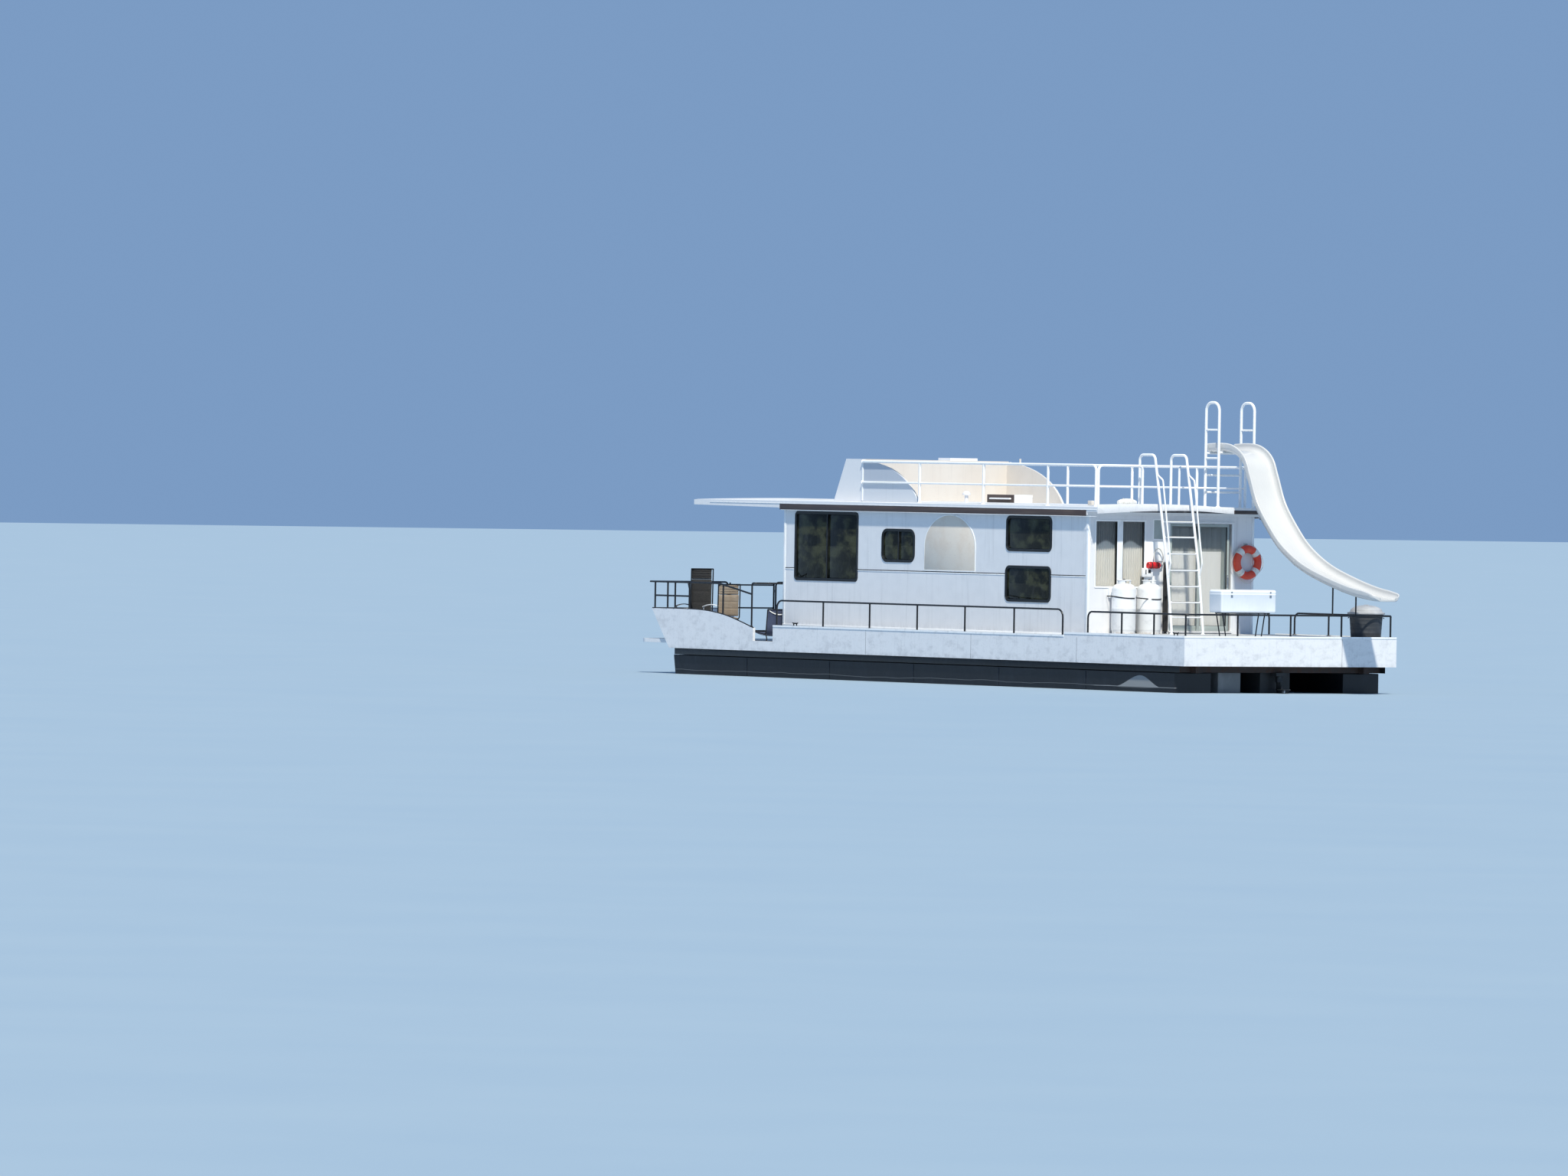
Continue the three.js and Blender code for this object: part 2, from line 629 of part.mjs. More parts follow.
function upperRailNode(side, rearEnd = null) {
  const y = side * upperRail.half;
  const start = fairing.aft + 30;
  const { topZ, midZ, rear } = upperRail;
  const top = [[start, y, topZ], [rear, y, topZ]];
  const mid = [[start, y, midZ], [rear, y, midZ]];
  if (rearEnd !== null) {
    top.push([rear, rearEnd, topZ], [rear, rearEnd, roofFoot(rearEnd)]);
    mid.push([rear, rearEnd, midZ]);
  }
  const parts = [
    tube(top, whiteR, { bend: 60 }),
    tube(mid, whiteR - 4, { bend: 50 }),
    tube([[start, y, topZ], [start, y, midZ]], whiteR - 4),
  ];
  for (const x of [-8590, -6710, -4840, rear + 5]) {
    parts.push(tube([[x, y, roofFoot(y)], [x, y, topZ]], whiteR));
  }
  return join(parts);
}

piece('upper_rail_port', upperRailNode(-1, ladder.port - 60), white);
piece('upper_rail_starboard', upperRailNode(1), white);

// Roof hatch box
const hatch = { x0: -8240, x1: -7470, y0: -400, y1: 10, tall: 140, lidOver: 6 };

function roofHatch() {
  const { x0, x1, y0, y1, tall, lidOver: over } = hatch;
  const foot = cabin.topZ + 100;
  const top = roofTopAt(0) + tall;
  const body = box(x0, x1, y0, y1, foot, top - 40);
  const lid = box(x0 - over, x1 + over, y0 - over, y1 + over, top - 45, top);
  return seatedOn(join(body, lid), roofBody);
}

piece('roof_hatch', roofHatch(), offWhite);

// Stern ladder
function sternLadder() {
  const parts = [];
  const slope = (ladder.footX - ladder.headX) / (sternDeckZ - 3700);
  const xAt = (z) => ladder.headX + (z - 3700) * slope;
  const heel = sternDeckZ + 60;
  const off = 150; // the grab rails stand this far aft of the stringers
  for (const y of [ladder.port, ladder.starboard]) {
    parts.push(tube([
      [ladder.foreX, y, roofFoot(y)], [ladder.foreX, y, ladder.hoopZ], [xAt(ladder.hoopZ), y, ladder.hoopZ],
      [xAt(heel), y, heel], [xAt(heel), y, sternDeckZ + gap],
    ], whiteR, { bend: 100 }));
    parts.push(tube([
      [xAt(4280), y, 4280], [xAt(4180) + off, y, 4180], [xAt(2750) + off, y, 2750], [xAt(2650), y, 2650],
    ], whiteR - 5, { bend: 60 }));
  }
  for (const z of [1780, 2040, 2320, 2600, 2890, 3180, 3450]) {
    const x = xAt(z);
    parts.push(tube([[x, ladder.port, z], [x, ladder.starboard, z]], whiteR - 4));
  }
  return join(parts);
}

piece('stern_ladder', sternLadder(), white);

// Water slide: bed route as x, z at the underside of the flume
const bedRoute = [
  [-3530, 4685], [-3150, 4700], [-2840, 4665], [-2580, 4510], [-2430, 4216], [-2187, 3709],
  [-1755, 3212], [-1387, 2905], [-860, 2622], [-221, 2408], [527, 2222], [1199, 2131],
];

function bedAt(x) {
  const i = bedRoute.findIndex(([routeX]) => routeX >= x);
  const [x0, z0] = bedRoute[i - 1];
  const [x1, z1] = bedRoute[i];
  return z0 + ((z1 - z0) * (x - x0)) / (x1 - x0);
}

function slideFlume() {
  const { half, lip, wall } = slide;
  const section = new THREE.Shape();
  const round = 90;
  section.moveTo(-half, lip);
  section.lineTo(-half, round);
  section.absarc(-half + round, round, round, Math.PI, Math.PI * 1.5);
  section.lineTo(half - round, 0);
  section.absarc(half - round, round, round, Math.PI * 1.5, Math.PI * 2);
  section.lineTo(half, lip);
  section.lineTo(half - wall, lip);
  section.lineTo(half - wall, round);
  section.absarc(half - round, round, round - wall, 0, -Math.PI / 2, true);
  section.lineTo(-half + round, wall);
  section.absarc(-half + round, round, round - wall, -Math.PI / 2, -Math.PI, true);
  section.lineTo(-half + wall, lip);
  const bed = new THREE.CatmullRomCurve3(
    bedRoute.map(([x, z]) => new THREE.Vector3(x, slide.y, z)), false, 'centripetal');
  const points = bed.getSpacedPoints(26);
  const route = new Route(points, new THREE.Vector3(0, 1, 0));
  const options = { steps: 26, extrudePath: route, bevelEnabled: false, curveSegments: 3 };
  const flume = solid(new THREE.ExtrudeGeometry(section, options));
  // the rims run down lower towards the tip
  const over = [[350, 2432], [1260, 2242], [1260, 2650], [350, 2650]];
  return cut(flume, sideways(over, slide.y - half - 10, slide.y + half + 10));
}

function slideFrame() {
  const parts = [];
  for (const y of [hoop.port, hoop.starboard]) {
    parts.push(tube([
      [hoop.foreX, y, roofFoot(y, whiteR + 2)], [hoop.foreX, y, hoop.topZ], [hoop.aftX, y, hoop.topZ],
      [hoop.aftX, y, roofFoot(y, whiteR + 2)],
    ], whiteR + 2, { bend: 150 }));
    for (const z of [5080, 4580]) {
      parts.push(tube([[hoop.foreX, y, z], [hoop.aftX, y, z]], whiteR - 2));
    }
  }
  for (const z of [3980, 4280, bedAt(hoop.foreX) - 10]) {
    parts.push(tube([[hoop.foreX, hoop.port, z], [hoop.foreX, hoop.starboard, z]], whiteR));
  }
  const { rear, topZ, midZ } = upperRail;
  const y0 = ladder.starboard + 60;
  parts.push(tube([[rear, y0, roofFoot(y0)], [rear, y0, topZ], [rear, hoop.port, topZ]], whiteR, { bend: 60 }));
  parts.push(tube([[rear, y0, midZ], [rear, hoop.port, midZ]], whiteR - 4));
  for (const z of [topZ, midZ]) {
    parts.push(tube([[hoop.foreX, hoop.port, z], [hoop.aftX, hoop.port, z]], whiteR - 3));
  }
  const rest = bedAt(hoop.aftX) - 10;
  parts.push(tube([[hoop.aftX, hoop.port, rest], [hoop.aftX, hoop.starboard, rest]], whiteR));
  return seatedUnder(join(parts), flumeBody);
}

const flumeBody = slideFlume();
piece('slide_flume', flumeBody, white);
piece('slide_frame', slideFrame(), white);

// Stern rail, with the two props that hold the slide's lower end
function sternRail() {
  const x = -50;
  const front = -2800;
  const foot = sternDeckZ + gap;
  const top = 1865;
  const y = lowRail.y;
  const parts = [tube([
    [front, -y, foot], [front, -y, top], [x, -y, top], [x, y, top], [front, y, top], [front, y, foot],
  ], railR, { bend: 110 })];
  const inCorner = 29; // a corner post stands this far inside the rail's unbent corner
  for (const side of [-1, 1]) {
    for (const postX of [-1840, -930]) {
      parts.push(tube([[postX, side * y, foot], [postX, side * y, top]], railR));
    }
    const [cornerX, cornerY] = [x - inCorner, side * (y - inCorner)];
    parts.push(tube([[cornerX, cornerY, foot], [cornerX, cornerY, top]], railR));
  }
  for (const postY of [-1155, 20, 1155]) {
    parts.push(tube([[x, postY, foot], [x, postY, top]], railR));
  }
  // y of each prop, and how far its top stands over the bed's lowest line
  for (const [propY, rise] of [[950, 10], [1470, 28]]) {
    parts.push(tube([[x, propY, top], [x, propY, bedAt(x) + rise]], railR - 4));
  }
  return seatedUnder(join(parts), flumeBody);
}

piece('stern_rail', sternRail(), black);

// Gas cylinders against the stern wall
function gasCylinder(y) {
  const r = 215;
  const profile = [
    [0, 0], [r - 20, 0], [r - 20, 40], [r, 60], [r, 770], [r - 22, 845], [r - 80, 890], [r - 80, 935],
    [45, 935], [45, 950], [0, 950],
  ];
  return turned(profile, -3165, y, sternDeckZ + gap, 20);
}

piece('gas_cylinder_port', gasCylinder(-1240), white);
piece('gas_cylinder_starboard', gasCylinder(-680), white);

// Stowage box on its stand over the stern rail
const stowage = { x0: -360, x1: 0, y0: -1560, y1: -340, z0: 1905, z1: 2240, lid: 65, wall: 20 };

function stowageBox() {
  const { x0, x1, y0, y1, z0, z1, wall } = stowage;
  const shell = box(x0, x1, y0, y1, z0, z1);
  return cut(shell, box(x0 + wall, x1 - wall, y0 + wall, y1 - wall, z0 + wall, z1 + 10));
}

function stowageLid() {
  const { x0, x1, y0, y1, z1, lid } = stowage;
  return box(x0, x1, y0, y1, z1 + gap, z1 + lid);
}

// Two splayed frames that straddle the stern rail, tied by a rail under the box's forward edge.
function stowageStand() {
  const { x0, x1, y0, y1, z0 } = stowage;
  const bar = 22;
  const low = z0 - gap - bar;
  const footZ = sternDeckZ + gap;
  const inset = 140;
  const parts = [box(x0 + 20, x0 + 42, y0 + inset, y1 - inset, low, z0 - gap)];
  // y of each frame, and how far its feet splay
  for (const [y, splay] of [[y0 + inset, 60], [y1 - inset, -90]]) {
    parts.push(box(x0 + 16, x1 - 20, y - 12, y + 12, low + 2, z0 - gap - 1));
    for (const [topX, footX] of [[x0 + 40, x0 + 70], [-150, -125]]) {
      parts.push(tube([[topX, y, low + 8], [footX, y + splay, footZ + 10]], 12));
      parts.push(box(footX - 28, footX + 28, y + splay - 28, y + splay + 28, footZ, footZ + 14));
    }
  }
  return join(parts);
}

piece('stowage_box', stowageBox(), white);
piece('stowage_lid', stowageLid(), white);
piece('stowage_stand', stowageStand(), black);

// Waste tub with a domed lid
const tub = { x: -385, y: 1975, rimR: 305, baseR: 265, height: 410, lidR: 330 };

function wasteTub() {
  const { rimR, baseR, height } = tub;
  const profile = [[0, 0], [baseR, 0], [rimR - 12, height - 40], [rimR, height - 40], [rimR, height], [0, height]];
  return turned(profile, tub.x, tub.y, sternDeckZ + gap, 24);
}

function tubLid() {
  const r = tub.lidR;
  const profile = [[0, 0], [r, 0], [r, 30], [r - 60, 110], [r - 150, 152], [0, 170]];
  return turned(profile, tub.x, tub.y, sternDeckZ + tub.height + gap * 2, 24);
}

piece('waste_tub', wasteTub(), darkPlastic);
piece('tub_lid', tubLid(), grey);

// Things on the stern wall
function lifeRing() {
  const ring = solid(new THREE.TorusGeometry(235, 70, 8, 28).rotateY(Math.PI / 2));
  return ring.translate([cabin.rear + 70 + gap, 1660, 2750]);
}

function extinguisher() {
  const r = 60;
  const x = cabin.rear + r + 2;
  const z = 2680;
  const [y0, y1] = [-565, -290];
  const bottle = tube([[x, y0, z], [x, y1, z]], r, { sides: 12 });
  const neck = tube([[x, y1, z], [x, y1 + 55, z]], 25, { sides: 8 });
  const mid = (y0 + y1) / 2;
  return join(bottle, neck, box(cabin.rear + gap, x, mid - 30, mid + 30, z - 30, z + 30));
}

function furledPole() {
  const profile = [[0, 0], [38, 0], [50, 250], [50, 1000], [34, 1290], [0, 1290]];
  return turned(profile, -3365, -150, sternDeckZ + gap, 10);
}

piece('life_ring', lifeRing(), red);
piece('extinguisher', extinguisher(), red);
piece('furled_pole', furledPole(), black);

// Seats on the bow deck
function deckChair(x, y, facing, size) {
  const { width, depth, seatZ, backZ } = size;
  const z0 = bowDeckZ + gap;
  const half = width / 2;
  const back = facing * depth / 2;
  const outline = (a, b) => (a < b ? [a, b] : [b, a]);
  const [bx0, bx1] = outline(back, back - facing * 60);
  const parts = [
    box(x - depth / 2, x + depth / 2, y - half, y + half, z0 + seatZ - 60, z0 + seatZ),
    box(x + bx0, x + bx1, y - half, y + half, z0 + seatZ - 40, z0 + backZ),
  ];
  for (const dx of [-depth / 2 + 25, depth / 2 - 25]) {
    for (const dy of [-half + 25, half - 25]) {
      parts.push(box(x + dx - 15, x + dx + 15, y + dy - 15, y + dy + 15, z0, z0 + seatZ - 50));
    }
  }
  return join(parts);
}

const highBack = { width: 520, depth: 520, seatZ: 430, backZ: 1300 };
const midBack = { ...highBack, backZ: 1030 };
const lowBack = { width: 540, depth: 480, seatZ: 200, backZ: 600 };
piece('chair_port', deckChair(-14970, -1960, 1, highBack), navy);
piece('chair_centre', deckChair(-14350, -1800, 1, midBack), darkPlastic);
piece('sling_chair', deckChair(-12700, -1870, 1, lowBack), navy);

// Engine block, drive leg, propeller and holding tank between the pontoons
const drive = { x: -330, hubZ: 330, blockAft: -440, blockFore: -1800, mountZ: 800 };

function engineBlock() {
  const top = crossBeamZ - gap;
  const block = box(drive.blockFore, drive.blockAft, -330, 330, 420, top);
  return join(block, box(drive.blockAft - 1, drive.x + 70, -110, 110, drive.mountZ, top - 2));
}

function driveLeg() {
  const { x, hubZ, mountZ } = drive;
  const head = turned([[0, 0], [60, 0], [60, 110], [0, 110]], x, 0, mountZ - gap - 110, 12);
  const leg = [
    [x - 55, mountZ - 90], [x + 80, mountZ - 90], [x + 130, hubZ + 60], [x + 130, hubZ - 60],
    [x + 30, hubZ - 220], [x - 40, hubZ - 60],
  ];
  const gearcase = tube([[x - 130, 0, hubZ], [x + 150, 0, hubZ]], 62, { sides: 12 });
  const plate = box(x - 60, x + 230, -100, 100, 560, 575);
  return join(head, sideways(leg, -26, 26), gearcase, plate);
}

function propeller() {
  const x = drive.x + 150 + gap;
  const hub = tube([[x, 0, drive.hubZ], [x + 110, 0, drive.hubZ]], 48, { sides: 12 });
  const blade = solid(new THREE.SphereGeometry(1, 8, 6).scale(9, 62, 82));
  const blades = [];
  for (let i = 0; i < 3; i += 1) {
    const set = blade.rotate([0, 0, 24]).translate([0, 0, 105]).rotate([i * 120, 0, 0]);
    blades.push(set.translate([x + 55, 0, drive.hubZ]));
  }
  return join(hub, blades);
}

piece('engine_block', engineBlock(), grey);
piece('drive_leg', driveLeg(), black);
piece('propeller', propeller(), black);
piece('holding_tank', box(drive.blockFore, drive.blockAft, -1260, -760, 430, crossBeamZ - gap), grey);
piece('bow_gate', bowGate(), black);

export default houseboat;
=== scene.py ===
"""A twin-pontoon houseboat, dressed: finishes for its solids, and modelled pieces for its fittings and
soft parts.

Lengths are metres. Pieces are drawn with x from the stern fascia, falling towards the bow, y from the
centreline with port negative, and z from the flat bottoms of the pontoons.
"""

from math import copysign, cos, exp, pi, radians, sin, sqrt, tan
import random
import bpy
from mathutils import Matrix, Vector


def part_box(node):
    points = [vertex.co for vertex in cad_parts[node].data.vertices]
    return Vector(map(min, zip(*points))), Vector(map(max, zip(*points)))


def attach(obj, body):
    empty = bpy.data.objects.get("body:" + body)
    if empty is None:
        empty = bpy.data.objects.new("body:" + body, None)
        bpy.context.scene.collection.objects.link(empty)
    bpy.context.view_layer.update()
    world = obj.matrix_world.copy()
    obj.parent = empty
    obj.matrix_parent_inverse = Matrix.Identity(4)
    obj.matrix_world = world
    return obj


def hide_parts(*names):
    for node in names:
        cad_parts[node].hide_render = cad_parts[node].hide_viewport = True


bl_info = {
    "name": "Pontoon Houseboat",
    "version": (1, 0, 0),
    "blender": (4, 5, 0),
    "location": "View3D > Sidebar > Houseboat",
    "description": "Builds the finishes, fittings and stage of a pontoon houseboat",
    "category": "Object",
}

import bmesh
import bpy
from bpy.props import FloatProperty, FloatVectorProperty, PointerProperty
from mathutils import Matrix, Vector

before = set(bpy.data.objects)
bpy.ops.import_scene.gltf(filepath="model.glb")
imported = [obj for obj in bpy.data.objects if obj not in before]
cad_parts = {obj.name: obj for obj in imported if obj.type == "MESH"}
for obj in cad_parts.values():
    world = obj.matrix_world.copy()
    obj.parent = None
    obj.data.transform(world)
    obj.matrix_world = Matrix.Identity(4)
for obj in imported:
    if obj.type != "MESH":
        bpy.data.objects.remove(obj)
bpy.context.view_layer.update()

# Places taken from the frame
DECK, WALLS, ROOF = (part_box(node) for node in ("deck_main", "cabin_wall_port", "roof"))
STERN, HALF_BEAM, STERN_DECK = DECK[1]
CHINE = DECK[0].z
WALK, CABIN_TOP = WALLS[0].z, WALLS[1].z
BOW_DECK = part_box("deck_bow")[1].z
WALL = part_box("cabin_wall_starboard")[1].y
CABIN_FRONT, CABIN_REAR = (corner.x - STERN for corner in WALLS)
ROOF_FRONT, ROOF_REAR = (corner.x - STERN for corner in ROOF)
ROOF_HALF = ROOF[1].y
ROOF_EDGE = 3.69
ROOF_CAMBER = 0.04
RAIL_Y = 2.31  # the low rails' line
WALK_FRONT = -11.995  # where the walkways start, aft of the bow deck
WHITE_RAIL_Y = 1.67  # the rooftop rails' line
STAND_OFF = 0.0003  # under what stands on a deck
SIDES = {"port": -1, "starboard": 1}
AFT, STARBOARD, UP = (1, 0, 0), (0, 1, 0), (0, 0, 1)


def srgb(red, green, blue):
    """A colour as a paint chart gives it, from 0 to 255, in the renderer's own scale."""
    return tuple((c / 12.92 if c < 0.04045 else ((c + 0.055) / 1.055) ** 2.4)
        for c in (red / 255, green / 255, blue / 255))


def roof_top(y):
    """Height of the cambered roof at y."""
    return ROOF_EDGE + ROOF_CAMBER * (1 - (y / ROOF_HALF) ** 2)


# Sizes and colours that a user may change


def colour_choice(name, note, default):
    return FloatVectorProperty(name=name, description=note, default=default, size=3, subtype="COLOR", min=0.0,
        max=1.0)


def length_choice(name, note, default, low, high):
    return FloatProperty(name=name, description=note, default=default, min=low, max=high, subtype="DISTANCE",
        unit="LENGTH")


class HouseboatColours(bpy.types.PropertyGroup):
    """Paint and cloth colours"""

    white: colour_choice("White paint", "Cabin, decks and fascias", srgb(231, 232, 235))
    stain: colour_choice("Stain", "Streaks and grime on the white paint", srgb(150, 152, 158))
    cream: colour_choice("Cream", "Rooftop fairing and doors", srgb(214, 208, 201))
    brown: colour_choice("Roof strip", "Strip along the roof's sides", srgb(72, 60, 58))
    hull: colour_choice("Hull black", "Pontoons", srgb(15, 17, 22))
    scuff: colour_choice("Hull scuff", "Bare patches along the waterline", srgb(150, 153, 156))
    beam: colour_choice("Beam brown", "Primer on the deck frame", srgb(52, 40, 36))
    grit: colour_choice("Deck grit", "Non-slip paint on the decks", srgb(184, 186, 188))
    rail_black: colour_choice("Black rail", "Low rails", srgb(26, 27, 31))
    rail_white: colour_choice("White rail", "Rooftop rails, ladder and slide frame", srgb(244, 246, 248))
    gelcoat: colour_choice("Gelcoat", "Slide and stowage box", srgb(246, 248, 251))
    ring: colour_choice("Ring red", "Life ring", srgb(226, 66, 44))
    enamel: colour_choice("Red enamel", "Extinguisher", srgb(205, 30, 36))
    curtain: colour_choice("Curtain", "Curtains and blinds", srgb(240, 236, 226))
    sign: colour_choice("Sign", "Arched board on the cabin's side", srgb(226, 217, 205))
    tub: colour_choice("Tub", "Waste tub", srgb(52, 55, 60))
    tub_lid: colour_choice("Tub lid", "Lid of the waste tub", srgb(160, 162, 166))
    navy: colour_choice("Navy cloth", "Seats on the bow deck", srgb(44, 58, 92))
    grey_cloth: colour_choice("Grey cloth", "Middle seat", srgb(150, 132, 112))
    wood: colour_choice("Cabin wood", "Furniture inside the cabin", srgb(140, 100, 64))


class HouseboatSizes(bpy.types.PropertyGroup):
    """Sizes of trim, folds and edges"""

    rail: length_choice("Low rail radius", "Radius of the black tubes", 0.0165, 0.01, 0.03)
    white_rail: length_choice("White rail radius", "Radius of the rooftop tubes", 0.0245, 0.01, 0.03)
    seam: length_choice("Seam width", "Width of the dark joint in the cabin's sides", 0.018, 0.004, 0.03)
    trim: length_choice("Corner trim", "Width of the cabin's corner trim", 0.055, 0.02, 0.1)
    flange: length_choice("Window flange", "Width of the rim round each window", 0.028, 0.02, 0.06)
    fold: length_choice("Curtain fold", "Depth of the curtains' folds", 0.014, 0.004, 0.03)
    edging: length_choice("Bulwark edging", "Radius of the black edging on the bulwarks", 0.013, 0.006, 0.02)
    waterline: length_choice("Waterline", "Height of the floor above the pontoons' bottoms", 0.5, 0.3, 0.7)


def colours():
    return bpy.context.scene.houseboat_colours


def sizes():
    return bpy.context.scene.houseboat_sizes


# Finishes: node trees written as expressions


class Wire:
    """A socket that gives a value; arithmetic on it adds the Math nodes that work it out."""

    def __init__(self, finish, socket):
        self.finish = finish
        self.socket = socket

    def math(self, operation, *values):
        return self.finish.node("ShaderNodeMath", {"operation": operation}, list(values))

    def __add__(self, other):
        return self.math("ADD", self, other)

    def __sub__(self, other):
        return self.math("SUBTRACT", self, other)

    def __rsub__(self, other):
        return self.math("SUBTRACT", other, self)

    def __mul__(self, other):
        return self.math("MULTIPLY", self, other)

    __radd__ = __add__
    __rmul__ = __mul__

    def sine(self):
        return self.math("SINE", self)

    def size(self):
        return self.math("ABSOLUTE", self)

    def most(self, other):
        return self.math("MAXIMUM", self, other)

    def ramp(self, low, high):
        """0 at low and 1 at high, smooth between them; low may be the greater."""
        return self.finish.node("ShaderNodeMapRange", {"interpolation_type": "SMOOTHSTEP"},
            {"Value": self, "From Min": low, "From Max": high})


class Finish:
    """One material: its shader, and the nodes that its maker asks for."""

    def __init__(self, name, slot):
        self.slot = slot
        self.material = bpy.data.materials.new(name)
        self.material.use_nodes = True
        self.tree = self.material.node_tree
        self.tree.nodes.clear()
        self.shader = self.tree.nodes.new("ShaderNodeBsdfPrincipled")
        output = self.tree.nodes.new("ShaderNodeOutputMaterial")
        self.tree.links.new(self.shader.outputs[0], output.inputs[0])
        self.place = self.node("ShaderNodeTexCoord", out="Object")
        self.x, self.y, self.z = self.split(self.place)

    def join(self, value, socket):
        if isinstance(value, Wire):
            self.tree.links.new(value.socket, socket)
        elif hasattr(value, "__len__") and socket.type == "RGBA":
            socket.default_value = (*value[:3], 1.0)
        else:
            socket.default_value = value

    def node(self, kind, settings=None, inputs=None, out=0):
        """Adds a node: its settings first, then the values or links of its sockets."""
        made = self.tree.nodes.new(kind)
        for key, value in (settings or {}).items():
            setattr(made, key, value)
        pairs = inputs.items() if isinstance(inputs, dict) else enumerate(inputs or [])
        for key, value in pairs:
            self.join(value, made.inputs[key])
        return Wire(self, made.outputs[out])

    def split(self, place):
        made = self.node("ShaderNodeSeparateXYZ", None, [place]).socket.node
        return [Wire(self, made.outputs[i]) for i in range(3)]

    def constants(self, **values):
        """Values that are the same all over, on the shader's own sockets."""
        for key, value in values.items():
            self.join(value, self.shader.inputs[key.replace("_", " ")])

    def noise(self, scale, stretch=(1, 1, 1), detail=3.0, roughness=0.55):
        place = self.node("ShaderNodeMapping", None, {"Vector": self.place, "Scale": stretch})
        return self.node("ShaderNodeTexNoise", None, {"Vector": place, "Scale": scale, "Detail": detail,
            "Roughness": roughness})

    def cells(self, scale):
        """Distance to the nearest of many scattered points."""
        return self.node("ShaderNodeTexVoronoi", None, {"Vector": self.place, "Scale": scale})

    def facing_up(self):
        """1 on faces that look up, 0 on upright ones."""
        return self.split(self.node("ShaderNodeTexCoord", out="Normal"))[2].ramp(0.6, 0.9)

    def mix(self, a, b, factor):
        return self.node("ShaderNodeMix", {"data_type": "RGBA"}, {0: factor, 6: a, 7: b}, out=2)

    def paint(self, colour, rough, height, depth):
        """Colour, roughness, and bumps as deep as depth where height runs from 0 to 1."""
        bump = self.node("ShaderNodeBump", None, {"Height": height, "Distance": depth})
        for name, value in (("Base Color", colour), ("Roughness", rough), ("Normal", bump)):
            self.join(value, self.shader.inputs[name])

    def worn(self, colour, worn, share, wear, rough, height, depth):
        """A colour that turns to the worn one with the wear, which adds to the roughness too."""
        self.paint(self.mix(colour, worn, wear * share), rough[0] + rough[1] * wear, height, depth)


MAKERS = {}
FINISHES = {}


def finish_for(slot):
    """Registers the maker of a finish under its own name, with the record's slot."""
    def keep(make):
        MAKERS[make.__name__] = (make, slot)
        return make
    return keep


def finish(name):
    if name not in FINISHES:
        make, slot = MAKERS[name]
        FINISHES[name] = Finish(name, slot)
        make(FINISHES[name], colours())
    return FINISHES[name]


def darker(colour, share):
    return tuple(c * share for c in colour)


@finish_for("white_panel")
def wall_white(f, c):
    streaks = f.noise(2.2, (5.5, 5.5, 0.28), 5).ramp(0.5, 0.78) * 0.3
    runs = f.noise(7.0, (6, 6, 0.12)).ramp(0.6, 0.8) * 0.22
    mottle = f.noise(5.0).ramp(0.35, 0.75) * 0.1
    foot = f.z.ramp(WALK + 0.16, WALK) * f.noise(4.0, (3, 3, 1)).ramp(0.3, 0.7) * 0.45
    tinted = f.mix(c.white, c.stain, (streaks + runs + mottle + foot).most(0.0) * 0.6)
    specked = f.mix(tinted, darker(c.stain, 0.5), f.cells(5.5).ramp(0.035, 0.02) * 0.5)
    f.paint(specked, 0.36 + 0.2 * streaks + 0.12 * f.noise(30.0), f.noise(1.1, detail=2)
        + f.noise(160.0, detail=2) * 0.05, 0.012)


@finish_for("white_panel")
def fascia_white(f, c):
    blotch = f.noise(4.5, (1, 1, 1.6), 6, 0.62).ramp(0.47, 0.72) * 0.38
    grain = f.noise(26.0, detail=4).ramp(0.5, 0.75) * 0.18
    drips = f.noise(8.0, (4, 4, 0.2)).ramp(0.55, 0.78) * 0.22
    low = f.z.ramp(CHINE + 0.09, CHINE) * f.noise(6.0).ramp(0.35, 0.65) * 0.4
    aged = f.mix(c.white, c.stain, (blotch + grain + drips + low) * 0.7)
    scratch = f.noise(12.0, (0.6, 0.6, 9)).ramp(0.68, 0.75) * 0.4
    grit = f.noise(220.0, detail=2)
    trodden = f.mix(c.grit, darker(c.grit, 0.72), f.noise(1.4, detail=4).ramp(0.45, 0.7))
    top = f.mix(trodden, darker(c.grit, 0.55), grit.ramp(0.6, 0.75) * 0.5)
    up = f.facing_up()
    f.paint(f.mix(f.mix(aged, darker(c.stain, 0.6), scratch), top, up), 0.42 + 0.15 * blotch + 0.3 * up,
        grit * up + f.noise(1.3) * 3.0 + f.noise(60.0) * 0.12, 0.003)


@finish_for("white_panel")
def roof_white(f, c):
    pools = f.noise(0.9, detail=5).ramp(0.5, 0.68)
    dust = f.noise(14.0, detail=4).ramp(0.45, 0.75) * 0.3
    up = f.facing_up()
    laps = (f.x * (pi / 1.22)).sine().size().ramp(0.03, 0.0)
    f.paint(f.mix(c.white, srgb(176, 172, 160), (pools * 0.35 + dust) * up + dust * 0.3),
        0.45 + 0.2 * pools * up, laps * up + f.noise(2.0) * 1.5 + f.noise(90.0) * 0.15, 0.004)


